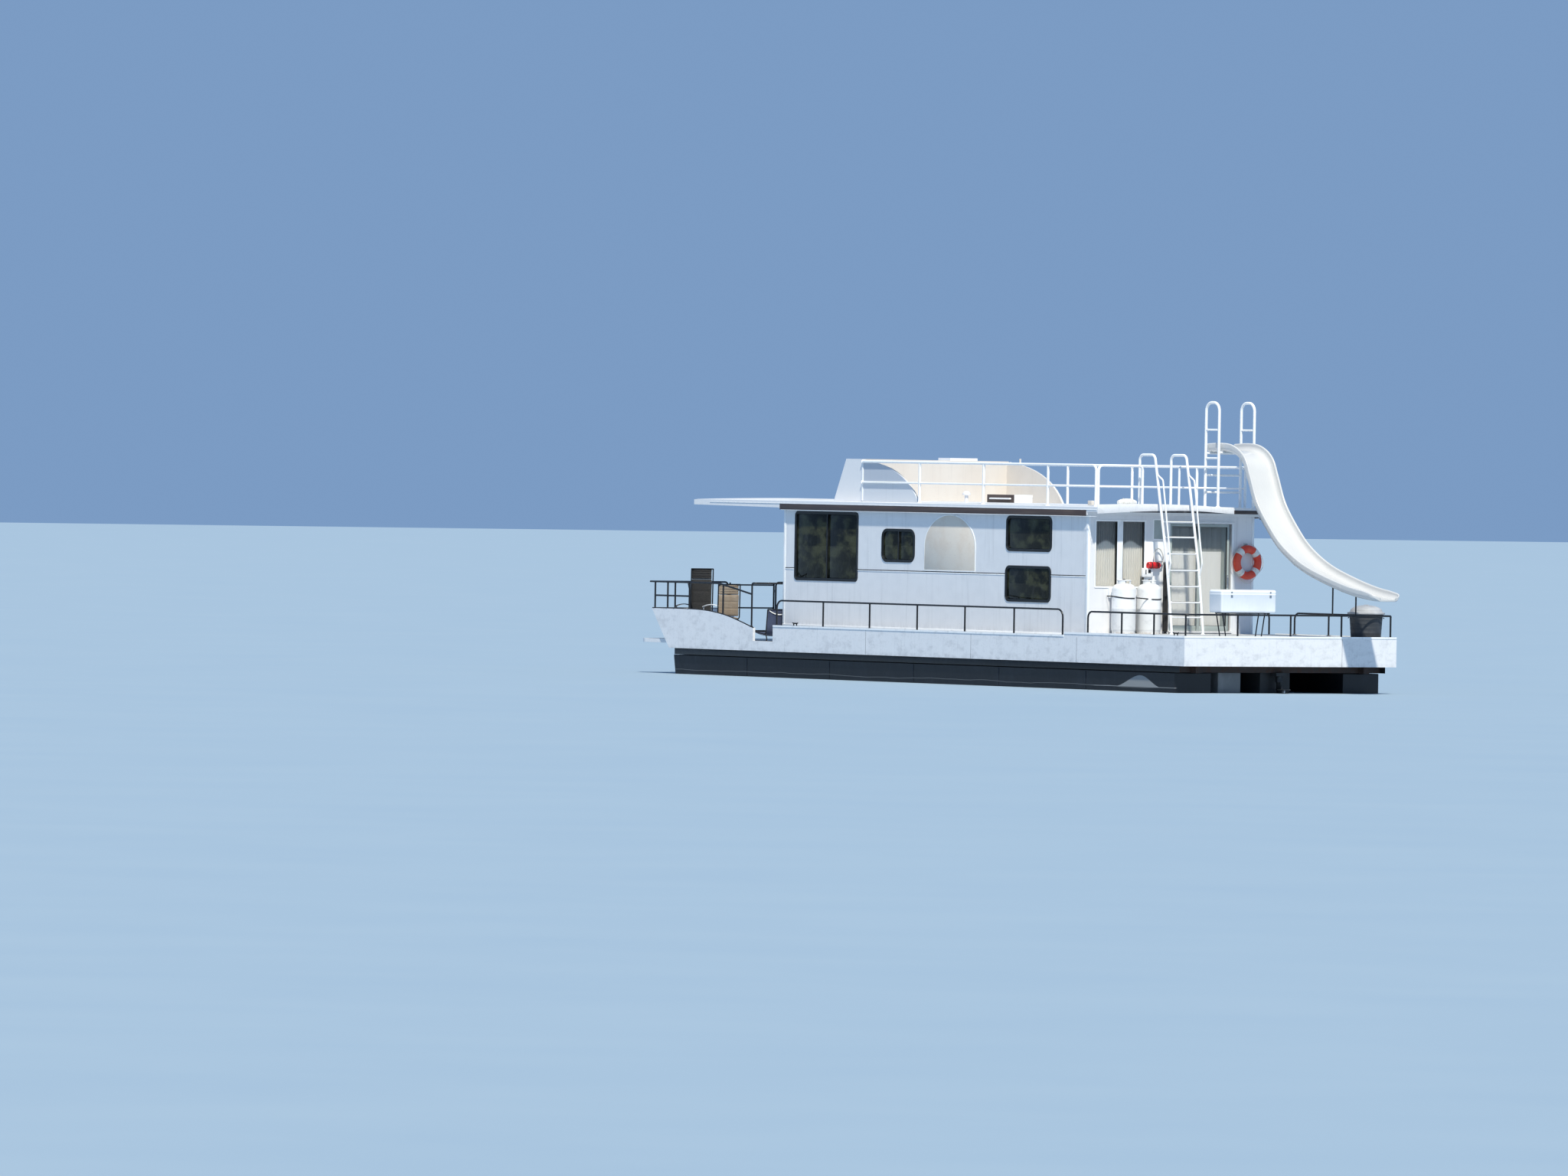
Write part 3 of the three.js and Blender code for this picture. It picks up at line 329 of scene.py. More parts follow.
@finish_for("cream_panel")
def fairing_cream(f, c):
    stain = f.noise(1.8, (1, 1, 0.5), 5).ramp(0.45, 0.72)
    runs = f.noise(6.0, (5, 5, 0.2)).ramp(0.55, 0.8) * 0.4
    inside = f.mix(c.cream, srgb(204, 195, 186), stain * 0.45)
    # The wings' outer faces are painted blue-grey, and darker still above z 4.07: painted shade where the sun
    # only grazes them.
    painted_shade_wing = f.mix(srgb(210, 215, 222), srgb(188, 195, 206), f.z.ramp(4.06, 4.08))
    outer_faces_painted_shade = f.mix(inside, painted_shade_wing, f.y.size().ramp(1.625, 1.64))
    whole = f.mix(outer_faces_painted_shade, c.white, f.x.ramp(STERN - 10.325, STERN - 10.335))
    f.paint(f.mix(whole, darker(c.stain, 0.9), runs * 0.35 + f.noise(40.0).ramp(0.62, 0.8) * 0.2),
        0.35 + 0.2 * stain, f.noise(1.6) * 2.0 + f.noise(130.0) * 0.1, 0.004)


@finish_for("hull_black")
def hull_black(f, c):
    low, peak = 0.585, STERN - 1.34
    mound = f.x.ramp(STERN - 2.07, peak) * f.x.ramp(STERN - 0.74, peak)
    bare = (low + 0.205 * mound - f.z).ramp(0.0, 0.008) * f.z.ramp(low - 0.004, low + 0.002)
    wash = (f.noise(0.8, (1, 0.2, 0.2)) * 0.09 + 0.54 - f.z).size().ramp(0.006, 0.002)
    line = (f.z - low).size().ramp(0.007, 0.003) * f.x.ramp(STERN - 2.8, STERN - 2.6)
    patch = bare.most(line * 0.9).most(wash * 0.45) * f.y.ramp(-2.2, -2.26)
    streaks = f.noise(5.0, (3, 3, 0.3), 4).ramp(0.55, 0.8) * 0.3
    dull = f.mix(c.hull, srgb(44, 48, 58), streaks + f.noise(2.0).ramp(0.5, 0.8) * 0.25)
    weed = f.z.ramp(0.49, 0.4) * f.noise(9.0, (1, 1, 1.5), 5).ramp(0.35, 0.65)
    f.paint(f.mix(f.mix(dull, c.scuff, patch * 0.85), srgb(52, 56, 38), weed * 0.75),
        0.4 + 0.3 * patch + 0.3 * weed, f.noise(2.4) * 2.0 + weed * f.noise(60.0) + f.noise(110.0) * 0.1,
        0.004)


@finish_for("beam_brown")
def beam_brown(f, c):
    rust = f.noise(7.0, detail=6).ramp(0.45, 0.7)
    f.worn(c.beam, srgb(92, 58, 42), 0.35, rust, (0.7, 0.2), rust + f.noise(90.0) * 0.4, 0.002)


@finish_for("white_panel")
def strip_brown(f, c):
    fade = f.noise(3.0, (0.5, 1, 6), 5).ramp(0.4, 0.7)
    f.worn(c.brown, srgb(104, 92, 88), 0.4, fade, (0.5, 0.25), f.noise(60.0, (0.3, 1, 1)), 0.001)


def tube_paint(f, colour, under, chips):
    """Powder coat with small chips down to what is under it, mostly near the feet of the posts."""
    chip = f.cells(34.0).ramp(0.16, 0.12) * f.noise(5.0).ramp(chips, chips + 0.1)
    bloom = f.noise(16.0).ramp(0.45, 0.75)
    f.paint(f.mix(f.mix(colour, darker(colour, 0.82), bloom * 0.5), under, chip * 0.85),
        0.32 + 0.2 * bloom + 0.3 * chip, 1.0 - chip + f.noise(200.0) * 0.15, 0.0006)


@finish_for("black_tube")
def rail_black(f, c):
    tube_paint(f, c.rail_black, srgb(120, 74, 48), 0.58)


@finish_for("white_tube")
def rail_white(f, c):
    tube_paint(f, c.rail_white, srgb(158, 122, 92), 0.62)


def polished(f, colour, worn):
    slid = f.noise(9.0, (0.5, 5, 0.5), 4).ramp(0.5, 0.75)
    haze = f.noise(2.6).ramp(0.4, 0.75)
    f.constants(Coat_Weight=0.4, Coat_Roughness=0.12)
    f.paint(f.mix(colour, worn, slid * 0.22 + haze * 0.18), 0.16 + 0.18 * slid + 0.08 * haze,
        f.noise(1.8) + f.noise(180.0) * 0.03, 0.003)


@finish_for("white_gelcoat")
def gelcoat(f, c):
    polished(f, c.gelcoat, srgb(206, 212, 220))


# The slide's gelcoat is a darker copy of the white gelcoat, to hold back the strong sun on its bed: painted
# shade.
@finish_for("white_gelcoat")
def slide_gelcoat(f, c):
    polished(f, srgb(212, 212, 211), srgb(190, 190, 190))


@finish_for("white_enamel")
def cylinder_enamel(f, c):
    rust = f.z.ramp(STERN_DECK + 0.05, STERN_DECK) * f.noise(22.0).ramp(0.4, 0.6)
    scuff = f.noise(7.0, (1, 1, 1.2), 5).ramp(0.52, 0.75)
    scuffed = f.mix(darker(c.rail_white, 0.9), srgb(190, 193, 198), scuff * 0.4)
    f.paint(f.mix(scuffed, srgb(150, 120, 98), rust * 0.45), 0.3 + 0.25 * scuff + 0.3 * rust,
        f.noise(140.0) * 0.5 + rust, 0.0008)


@finish_for("tinted_glass")
def glass_tint(f, c):
    dust = f.noise(7.0, (1, 1, 0.6), 5).ramp(0.5, 0.8)
    tint = f.mix(srgb(26, 28, 24), srgb(66, 68, 50), f.noise(3.4, (1, 1, 1.4), 4).ramp(0.42, 0.62))
    f.worn(tint, srgb(120, 124, 120), 0.14, dust, (0.04, 0.16), f.noise(0.9), 0.002)
    f.constants(Alpha=0.86, IOR=1.33)


@finish_for("tinted_glass")
def glass_clear(f, c):
    dust = f.noise(6.0, (1, 1, 0.5), 5).ramp(0.5, 0.8)
    f.worn(srgb(84, 92, 92), srgb(170, 176, 174), 0.4, dust, (0.05, 0.2), f.noise(1.1), 0.002)
    f.constants(Alpha=0.1, IOR=1.45)


@finish_for("black_plastic")
def frame_black(f, c):
    chalk = f.noise(11.0, detail=4).ramp(0.5, 0.8)
    f.worn(srgb(22, 24, 27), srgb(72, 76, 82), 0.35, chalk, (0.4, 0.25), f.noise(190.0), 0.0004)


@finish_for("white_panel")
def trim_white(f, c):
    grime = f.noise(5.0, (2, 2, 0.6), 5).ramp(0.5, 0.78)
    f.worn(c.rail_white, c.stain, 0.32, grime, (0.34, 0.2), f.noise(120.0) * 0.3 + f.noise(4.0), 0.0009)


@finish_for("tinted_glass")
def seam_dark(f, c):
    dirt = f.noise(15.0).ramp(0.4, 0.7)
    f.worn(srgb(48, 50, 56), srgb(84, 86, 92), 1.0, dirt, (0.6, 0.2), dirt, 0.0006)


def weave(f, pitch):
    """Height of a plain weave: crossing threads a pitch apart, along x or y and up."""
    turn = 2 * pi / pitch
    return ((f.x + f.y) * turn).sine() * (f.z * turn).sine() * 0.5 + 0.5


def cloth(f, colour, fade, pitch=0.005, shade=None):
    """Woven cloth faded by the sun; shade, if given, is a colour of painted shade that lies over it, and
    where.
    """
    threads = weave(f, pitch)
    sun = f.noise(3.5, (1, 1, 0.6), 4).ramp(0.35, 0.75)
    woven = f.mix(f.mix(colour, fade, sun * 0.5), darker(colour, 0.55), threads.ramp(0.35, 0.0) * 0.5)
    f.constants(Sheen_Weight=0.25, Sheen_Roughness=0.5)
    f.paint(f.mix(woven, *shade) if shade else woven, 0.85 + 0.1 * sun, threads, pitch * 0.35)


@finish_for("cream_panel")
def curtain_cloth(f, c):
    # Above a wavy line near z 3.05 the cloth is painted dark grey: the painted shadow of the roof's overhang,
    # its wave standing in for the shadow's edge across the folds.
    shadow_edge_wave = (f.y * 11.53 + 5.15).sine() * 0.05
    cloth(f, c.curtain, srgb(250, 248, 242), 0.004, (srgb(92, 95, 98), (f.z - shadow_edge_wave).ramp(3.02, 3.08) * 0.85))


@finish_for("cream_panel")
def blind_cloth(f, c):
    # Whiter than the curtains' cloth, standing in for the sun on the blinds: painted light. Painted darker
    # above z 2.93: painted shadow of the roof's overhang.
    cloth(f, srgb(253, 253, 250), srgb(255, 255, 253), 0.004, (srgb(140, 147, 148),
        f.z.ramp(2.92, 2.94) * 0.9))


@finish_for("navy_cloth")
def navy_cloth(f, c):
    cloth(f, c.navy, srgb(82, 98, 130))


@finish_for("navy_cloth")
def black_cloth(f, c):
    cloth(f, srgb(17, 17, 20), srgb(38, 39, 44))


@finish_for("grey_cloth")
def grey_cloth(f, c):
    cloth(f, c.grey_cloth, srgb(188, 180, 168))


@finish_for("ring_red")
def ring_red(f, c):
    fade = f.noise(6.0, detail=4).ramp(0.4, 0.7)
    skin = f.noise(46.0)
    f.paint(f.mix(c.ring, srgb(236, 120, 92), fade * 0.45 + skin.ramp(0.6, 0.8) * 0.2), 0.45 + 0.2 * fade,
        skin, 0.0014)


@finish_for("ring_red")
def band_white(f, c):
    threads = weave(f, 0.003)
    soil = f.noise(20.0).ramp(0.45, 0.7)
    f.paint(f.mix(srgb(240, 240, 236), srgb(188, 184, 174), soil * 0.6 + threads.ramp(0.3, 0.0) * 0.2),
        0.75 + 0.1 * soil, threads, 0.0008)


@finish_for("ring_red")
def rope_white(f, c):
    lay = ((f.x + f.y + f.z) * (2 * pi / 0.011)).sine() * 0.5 + 0.5
    f.paint(f.mix(srgb(232, 230, 222), srgb(168, 160, 146), lay.ramp(0.4, 0.0) * 0.7), 0.7 + 0.15 * lay, lay,
        0.0015)


@finish_for("red_enamel")
def red_enamel(f, c):
    rubbed = f.noise(12.0, detail=5).ramp(0.55, 0.75)
    f.worn(c.enamel, darker(c.enamel, 0.6), 0.6, rubbed, (0.22, 0.25), f.noise(150.0), 0.0004)


def moulded(f, colour, pale):
    """Moulded plastic with a fine grain and a chalky bloom."""
    bloom = f.noise(4.0, (1, 1, 0.6), 5).ramp(0.42, 0.75)
    scrape = f.noise(18.0, (3, 3, 0.5), 4).ramp(0.62, 0.74)
    f.paint(f.mix(f.mix(colour, pale, bloom * 0.45), darker(colour, 0.6), scrape * 0.4), 0.48 + 0.2 * bloom,
        f.noise(240.0) + scrape * 0.6, 0.0007)


@finish_for("black_plastic")
def tub_plastic(f, c):
    moulded(f, c.tub, srgb(96, 99, 104))


@finish_for("grey_plastic")
def lid_plastic(f, c):
    moulded(f, c.tub_lid, srgb(208, 210, 214))


@finish_for("grey_plastic")
def tank_plastic(f, c):
    moulded(f, srgb(112, 114, 117), srgb(150, 152, 154))


@finish_for("black_plastic")
def rubber_black(f, c):
    moulded(f, srgb(22, 22, 24), srgb(60, 60, 62))


@finish_for("black_plastic")
def fitting_metal(f, c):
    brushed = f.noise(60.0, (1, 8, 8), 4)
    tarnish = f.noise(9.0).ramp(0.5, 0.75)
    f.constants(Metallic=1.0)
    f.paint(f.mix(srgb(188, 190, 194), srgb(120, 116, 110), tarnish * 0.7), 0.28 + 0.2 * brushed + 0.2
        * tarnish, brushed, 0.0004)


@finish_for("engine_grey")
def engine_grey(f, c):
    oily = f.noise(6.0, detail=6).ramp(0.45, 0.7)
    f.worn(srgb(40, 41, 44), srgb(26, 24, 23), 0.6, oily, (0.6, -0.2), f.noise(80.0) + oily, 0.001)


@finish_for("drive_black")
def drive_black(f, c):
    salt = f.noise(8.0, detail=6).ramp(0.5, 0.75)
    f.worn(srgb(30, 31, 34), srgb(120, 124, 122), 0.5, salt, (0.36, 0.35), f.noise(120.0) * 0.4 + salt,
        0.0008)


@finish_for("cabin_wood")
def cabin_wood(f, c):
    rings = f.noise(1.6, (0.35, 6, 6), 5)
    grain = (rings * 38.0 + f.noise(30.0, (0.1, 3, 3)) * 2.0).sine() * 0.5 + 0.5
    f.constants(Coat_Weight=0.25, Coat_Roughness=0.2)
    f.worn(c.wood, darker(c.wood, 0.55), 0.6, grain, (0.42, 0.15), grain, 0.0005)


@finish_for("cream_panel")
def sign_cream(f, c):
    aged = f.noise(3.2, detail=5).ramp(0.4, 0.72)
    warm = f.mix(c.sign, srgb(214, 198, 182), aged * 0.5)
    f.paint(f.mix(warm, srgb(150, 140, 134), f.noise(22.0, (1, 1, 2), 5).ramp(0.6, 0.78) * 0.35),
        0.5 + 0.2 * aged, f.noise(36.0) + aged, 0.0012)


@finish_for("grey_plastic")
def door_green(f, c):
    chalk = f.noise(5.0, (1, 1, 0.5), 5).ramp(0.42, 0.74)
    f.worn(srgb(160, 170, 168), srgb(184, 192, 190), 0.45, chalk, (0.42, 0.2), f.noise(150.0) + chalk * 0.5,
        0.0006)


@finish_for("white_gelcoat")
def lamp_lens(f, c):
    ribs = (f.z * (2 * pi / 0.008)).sine() * 0.5 + 0.5
    f.worn(srgb(236, 238, 232), srgb(196, 200, 190), 0.5, ribs, (0.15, 0.1), ribs, 0.0008)


@finish_for("white_panel")
def floor_pale(f, c):
    drift = f.noise(0.35, detail=4)
    f.worn(srgb(146, 168, 187), srgb(154, 174, 190), 1.0, drift, (0.75, 0.1), f.noise(3.0), 0.002)


# Shapes


def arc(sweep, steps):
    """Angles from 0 to sweep, both included."""
    return [sweep * k / steps for k in range(steps + 1)]


def turns(count):
    """Angles evenly round a whole turn."""
    return arc(2 * pi, count)[:-1]


def hoop(centre, radius, axis, count):
    """Points of a circle round centre, across one of the main axes."""
    u, v = (Vector(way) for way in (AFT, STARBOARD, UP) if way != axis)
    return [Vector(centre) + (u * cos(a) + v * sin(a)) * radius for a in turns(count)]


def run_length(points):
    points = [Vector(p) for p in points]
    return sum((b - a).length for a, b in zip(points, points[1:]))


def height_on(line, x):
    """Height at x of a run of (x, z) points, or its last height where x lies beyond it."""
    for (x0, z0), (x1, z1) in zip(line, line[1:]):
        if x0 <= x <= x1:
            return z0 + (z1 - z0) * (x - x0) / (x1 - x0)
    return line[-1][1]


def rounded(path, bend, closed=False, steps=6):
    """The path with its corners turned into arcs of radius bend."""
    points = [Vector(p) for p in path]
    last = len(points) - 1
    out = []
    for i, corner in enumerate(points):
        before, after = points[i - 1] - corner, points[(i + 1) % len(points)] - corner
        if (not closed and i in (0, last)) or bend <= 0 or before.angle(after) > pi - 0.03:
            out.append(corner)
            continue
        half = before.angle(after) / 2
        whole = [1.0 if not closed and i in (1, last) else 0.5, 1.0 if not closed and i == last - 1 else 0.5]
        back = min(bend / tan(half), before.length * whole[0] * 0.98, after.length * whole[1] * 0.98)
        centre = corner + (before.normalized() + after.normalized()).normalized() * (back / cos(half))
        u, v = (corner + way.normalized() * back - centre for way in (before, after))
        sweep = u.angle(v)
        for t in arc(1, steps):
            out.append(centre + (u * sin((1 - t) * sweep) + v * sin(t * sweep)) / sin(sweep))
    return out


def curve_through(points, per_span=6):
    """A smooth run through the points (Catmull-Rom), with per_span steps between each two."""
    points = [Vector(p) for p in points]
    ends = [points[0] * 2 - points[1]] + points + [points[-1] * 2 - points[-2]]
    out = []
    for i in range(1, len(ends) - 2):
        a, b, c, d = ends[i - 1:i + 3]
        for t in arc(1, per_span)[:-1]:
            out.append(0.5 * (b * 2 + (c - a) * t + (a * 2 - b * 5 + c * 4 - d) * t * t
                + (b * 3 - a - c * 3 + d) * t ** 3))
    return out + [points[-1]]


def circle(radius, sides=12):
    return [(radius * cos(a), radius * sin(a)) for a in turns(sides)]


def rectangle(width, depth):
    """A closed section, width along the sweep's side and depth along its up."""
    return [(-width / 2, -depth / 2), (width / 2, -depth / 2), (width / 2, depth / 2),
        (-width / 2, depth / 2)]


def on(plane, at, a, b):
    """The point (a, b) of the plane x = at or y = at."""
    return (at, a, b) if plane == "x" else (a, at, b)


def loop_on(plane, at, low, high, corner, steps=5):
    """A rounded rectangle on the plane x = at or y = at, from low to high in its other two directions."""
    corners = [(low[0], low[1]), (high[0], low[1]), (high[0], high[1]), (low[0], high[1])]
    return rounded([on(plane, at, *p) for p in corners], corner, closed=True, steps=steps)


class Piece:
    """Points and faces of one object, gathered before it is made."""

    def __init__(self, start):
        self.points, self.faces, self.marks, self.finishes = [], [], [], []
        self.use(start)

    def use(self, name):
        """The finish of the faces that follow."""
        if name not in self.finishes:
            self.finishes.append(name)
        self.mark = self.finishes.index(name)

    def add(self, points, faces):
        first = len(self.points)
        self.points += [tuple(p) for p in points]
        self.faces += [tuple(first + i for i in face) for face in faces]
        self.marks += [self.mark] * len(faces)

    def skin(self, rows, ring=True, loop=False):
        """Faces between rows of points; ring closes each row, loop joins the last row to the first."""
        n = len(rows[0])
        faces = []
        for r in range(len(rows) - (not loop)):
            a, b = r * n, (r + 1) % len(rows) * n
            faces += [(a + i, a + (i + 1) % n, b + (i + 1) % n, b + i) for i in range(n - (not ring))]
        if ring and not loop:
            faces += [tuple(reversed(range(n))), tuple(range((len(rows) - 1) * n, len(rows) * n))]
        self.add([p for row in rows for p in row], faces)

    def sweep(self, path, section, up=None, closed=False, grow=None):
        """Carries a section along a path. Its second direction keeps to up, or else turns without twist."""
        points = [Vector(p) for p in path]
        last = len(points) - 1
        rows, side = [], None
        for i, point in enumerate(points):
            before = points[i - 1] if i or closed else point
            after = points[(i + 1) % len(points)] if i < last or closed else point
            along = (after - before).normalized()
            if up is not None:
                side = along.cross(Vector(up)).normalized()
            elif side is None:
                side = along.orthogonal().normalized()
            else:
                side = (side - along * side.dot(along)).normalized()
            over = side.cross(along)
            size = grow(i / last) if grow else 1.0
            rows.append([point + side * (a * size) + over * (b * size) for a, b in section])
        self.skin(rows, loop=closed)

    def tube(self, path, radius, bend=0.0, sides=12, grow=None):
        self.sweep(rounded(path, bend), circle(radius, sides), grow=grow)

    def rung(self, x, y0, y1, z, radius, sides=12):
        """A straight tube across the boat."""
        self.tube([(x, y0, z), (x, y1, z)], radius, sides=sides)

    def lathe(self, profile, centre, axis=UP, sides=32):
        """Turns (radius, height) pairs round an axis through centre."""
        axis = Vector(axis).normalized()
        u = axis.orthogonal().normalized()
        v = axis.cross(u)
        self.skin([[Vector(centre) + axis * h + (u * cos(a) + v * sin(a)) * max(r, 0.00001)
            for a in turns(sides)] for r, h in profile])

    def graft(self, mesh):
        mesh.verts.index_update()
        self.add([v.co.copy() for v in mesh.verts], [tuple(v.index for v in face.verts)
            for face in mesh.faces])
        mesh.free()

    def block(self, a, b, edge=0.003, steps=2):
        """A block with rounded edges between two opposite corners."""
        low, high = Vector([*map(min, a, b)]), Vector([*map(max, a, b)])
        size = high - low
        box = bmesh.new()
        bmesh.ops.create_cube(box, size=1)
        for v in box.verts:
            v.co = v.co * size
        bmesh.ops.bevel(box, geom=box.edges[:], offset=min(edge, min(size) * 0.45), segments=steps,
            affect="EDGES", profile=0.5)
        bmesh.ops.translate(box, vec=(low + high) / 2, verts=box.verts)
        self.graft(box)

    def boards(self, x0, x1, edge, *spots):
        """Blocks from x0 to x1, each between two (y, z) corners."""
        for y0, z0, y1, z1 in spots:
            self.block((x0, y0, z0), (x1, y1, z1), edge)

    def slab(self, outline, push, edge=0.003):
        """A flat outline pushed to a thickness, with its outer edges rounded."""
        body = bmesh.new()
        face = body.faces.new([body.verts.new(p) for p in outline])
        pushed = bmesh.ops.extrude_face_region(body, geom=[face])["geom"]
        for v in (g for g in pushed if isinstance(g, bmesh.types.BMVert)):
            v.co += Vector(push)
        bmesh.ops.recalc_face_normals(body, faces=body.faces)
        hard = [e for e in body.edges if len(e.link_faces) == 2 and e.calc_face_angle(0) > radians(25)]
        bmesh.ops.bevel(body, geom=hard, offset=edge, segments=2, affect="EDGES", profile=0.5)
        self.graft(body)

    def bolt(self, at, axis, radius, proud):
        """A domed head that stands on a face."""
        dome = [(0, 0), (radius, 0), (radius, proud * 0.35), (radius * 0.8, proud * 0.8), (0, proud)]
        self.lathe(dome, at, axis, sides=10)

    def foot(self, at, radius, plate=0.045):
        """A round flange under a post, with its screws."""
        self.lathe([(0, 0), (plate, 0), (plate, 0.004), (radius * 1.3, 0.009), (radius, 0.018), (0, 0.018)],
            at)
        for k in range(4):
            turn = pi / 4 + k * pi / 2
            spot = Vector((cos(turn), sin(turn), 0)) * plate * 0.75 + Vector((0, 0, 0.004))
            self.bolt(Vector(at) + spot, UP, 0.005, 0.003)

    def weld(self, at, axis, radius):
        """A bead where one tube meets another."""
        self.lathe([(radius, -0.005), (radius + 0.0035, 0), (radius, 0.005)], at, axis, sides=12)

    def post(self, x, y, low, high, radius, plate=0.045):
        """An upright tube with its foot, and the weld under the rail that it carries."""
        self.tube([(x, y, low), (x, y, high)], radius)
        self.weld((x, y, high - radius), UP, radius)
        self.foot((x, y, low), radius, plate)

    def make(self, name, replaces=None, body="hull", slot=None, smooth=38):
        mesh = bpy.data.meshes.new(name)
        mesh.from_pydata([(x + STERN, y, z) for x, y, z in self.points], [], self.faces)
        for entry in self.finishes:
            mesh.materials.append(finish(entry).material)
        mesh.polygons.foreach_set("material_index", self.marks)
        tidy = bmesh.new()
        tidy.from_mesh(mesh)
        bmesh.ops.remove_doubles(tidy, verts=tidy.verts, dist=0.00005)
        bmesh.ops.recalc_face_normals(tidy, faces=tidy.faces)
        tidy.to_mesh(mesh)
        tidy.free()
        mesh.shade_smooth()
        mesh.set_sharp_from_angle(angle=radians(smooth))
        made = add_object(name, mesh)
        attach(made, body)
        slot or finish(self.finishes[0]).slot
        if replaces:
            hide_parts(replaces)
        return made


def add_object(name, data):
    made = bpy.data.objects.new(name, data)
    bpy.context.scene.collection.objects.link(made)
    return made


def dress(nodes, name, edge):
    """Gives carried-over solids a finish and softly rounded edges."""
    for node in nodes:
        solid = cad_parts[node]
        if not solid.material_slots:
            solid.data.materials.append(None)
        for place in solid.material_slots:
            place.material = finish(name).material
        weld = solid.modifiers.new("Join corners", "WELD")
        weld.merge_threshold = 0.0002
        soft = solid.modifiers.new("Soft edges", "BEVEL")
        soft.width = edge
        soft.segments = 2
        soft.limit_method = "ANGLE"
        soft.angle_limit = radians(35)


def both(name):
    return [name + "_" + side for side in SIDES]


# Operators, one for each piece or group of like pieces


DONE = {"FINISHED"}


class Builder:
    """What every operator here has: it can be undone."""

    bl_options = {"REGISTER", "UNDO"}


class HOUSEBOAT_OT_stage(Builder, bpy.types.Operator):
    """Floor at the waterline, soft daylight and the camera"""

    bl_idname = "houseboat.stage"
    bl_label = "Floor, light and camera"

    AZIMUTH, ELEVATION, ROLL = radians(52.0), radians(0.59), radians(0.965)
    TARGET = Vector((3.513, -0.36, 2.0))
    DISTANCE = 230.8
    IMAGE = (2048, 1536)
    FOCAL = 17097.8  # in pixels of the image
    TARGET_PIXEL = (1481.1, 788.0)
    SUN = Vector((0.667, -0.33, 1.0))

    def execute(self, context):
        self.camera()
        self.lights()
        self.floor()
        return DONE

    def camera(self):
        a, e, r = self.AZIMUTH, self.ELEVATION, self.ROLL
        back = Vector((sin(a) * cos(e), -cos(a) * cos(e), sin(e)))
        right = Vector((cos(a), sin(a), 0))
        up = back.cross(right)
        right, up = right * cos(r) + up * sin(r), up * cos(r) - right * sin(r)
        across = (self.IMAGE[0] / 2 - self.TARGET_PIXEL[0]) / self.FOCAL
        above = (self.TARGET_PIXEL[1] - self.IMAGE[1] / 2) / self.FOCAL
        behind = (back - right * across - up * above).normalized()
        right = (right - behind * right.dot(behind)).normalized()
        up = behind.cross(right)
        lens = bpy.data.cameras.new("Camera")
        lens.sensor_width = 36.0
        lens.lens = self.FOCAL * lens.sensor_width / self.IMAGE[0]
        lens.clip_end = 2000
        seen = add_object("Camera", lens)
        turn = Matrix((right, up, behind)).transposed().to_4x4()
        seen.matrix_world = Matrix.Translation(self.TARGET + back * self.DISTANCE) @ turn
        bpy.context.scene.camera = seen

    def lights(self):
        sun = bpy.data.lights.new("Sun", "SUN")
        sun.energy = 4.4
        sun.color = (1.0, 0.95, 0.82)
        sun.angle = radians(2.5)
        add_object("Sun", sun).rotation_euler = self.SUN.to_track_quat("Z", "Y").to_euler()
        world = bpy.data.worlds.new("Sky")
        world.use_nodes = True
        sky = world.node_tree.nodes["Background"]
        sky.inputs["Color"].default_value = (0.2, 0.33, 0.55, 1.0)
        sky.inputs["Strength"].default_value = 1.0
        bpy.context.scene.world = world
        bpy.context.scene.view_settings.view_transform = "Standard"

    def floor(self):
        reach = 400.0
        mesh = bpy.data.meshes.new("Floor")
        corners = [(-reach, -reach), (reach, -reach), (reach, reach), (-reach, reach)]
        mesh.from_pydata([(x, y, sizes().waterline) for x, y in corners], [], [(0, 1, 2, 3)])
        mesh.materials.append(finish("floor_pale").material)
        add_object("Floor", mesh)


class HOUSEBOAT_OT_hull(Builder, bpy.types.Operator):
    """Pontoons with their welded bands, a long strip along each side under the deck, and the frame that joins
    them
    """

    bl_idname = "houseboat.hull"
    bl_label = "Pontoons and deck frame"

    def execute(self, context):
        dress(both("pontoon"), "hull_black", 0.012)
        dress(["deck_frame"], "beam_brown", 0.003)
        ends = [end.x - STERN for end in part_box("deck_frame")]
        for name, side in SIDES.items():
            inner, outer = sorted(abs(corner.y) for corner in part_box("pontoon_" + name))
            bands = Piece("hull_black")
            for x in (-12.9, -10.4, -7.9, -5.4, -2.9):
                for y, push in ((outer, 0.004), (inner, -0.004)):
                    bands.block((x - 0.018, y * side, 0.06), (x + 0.018, (y + push) * side, 0.83), 0.002)
            bands.block((ends[0], 2.288 * side, 0.857), (ends[1], 2.293 * side, CHINE - 0.001), 0.001)
            bands.make("pontoon_bands_" + name)
        return DONE


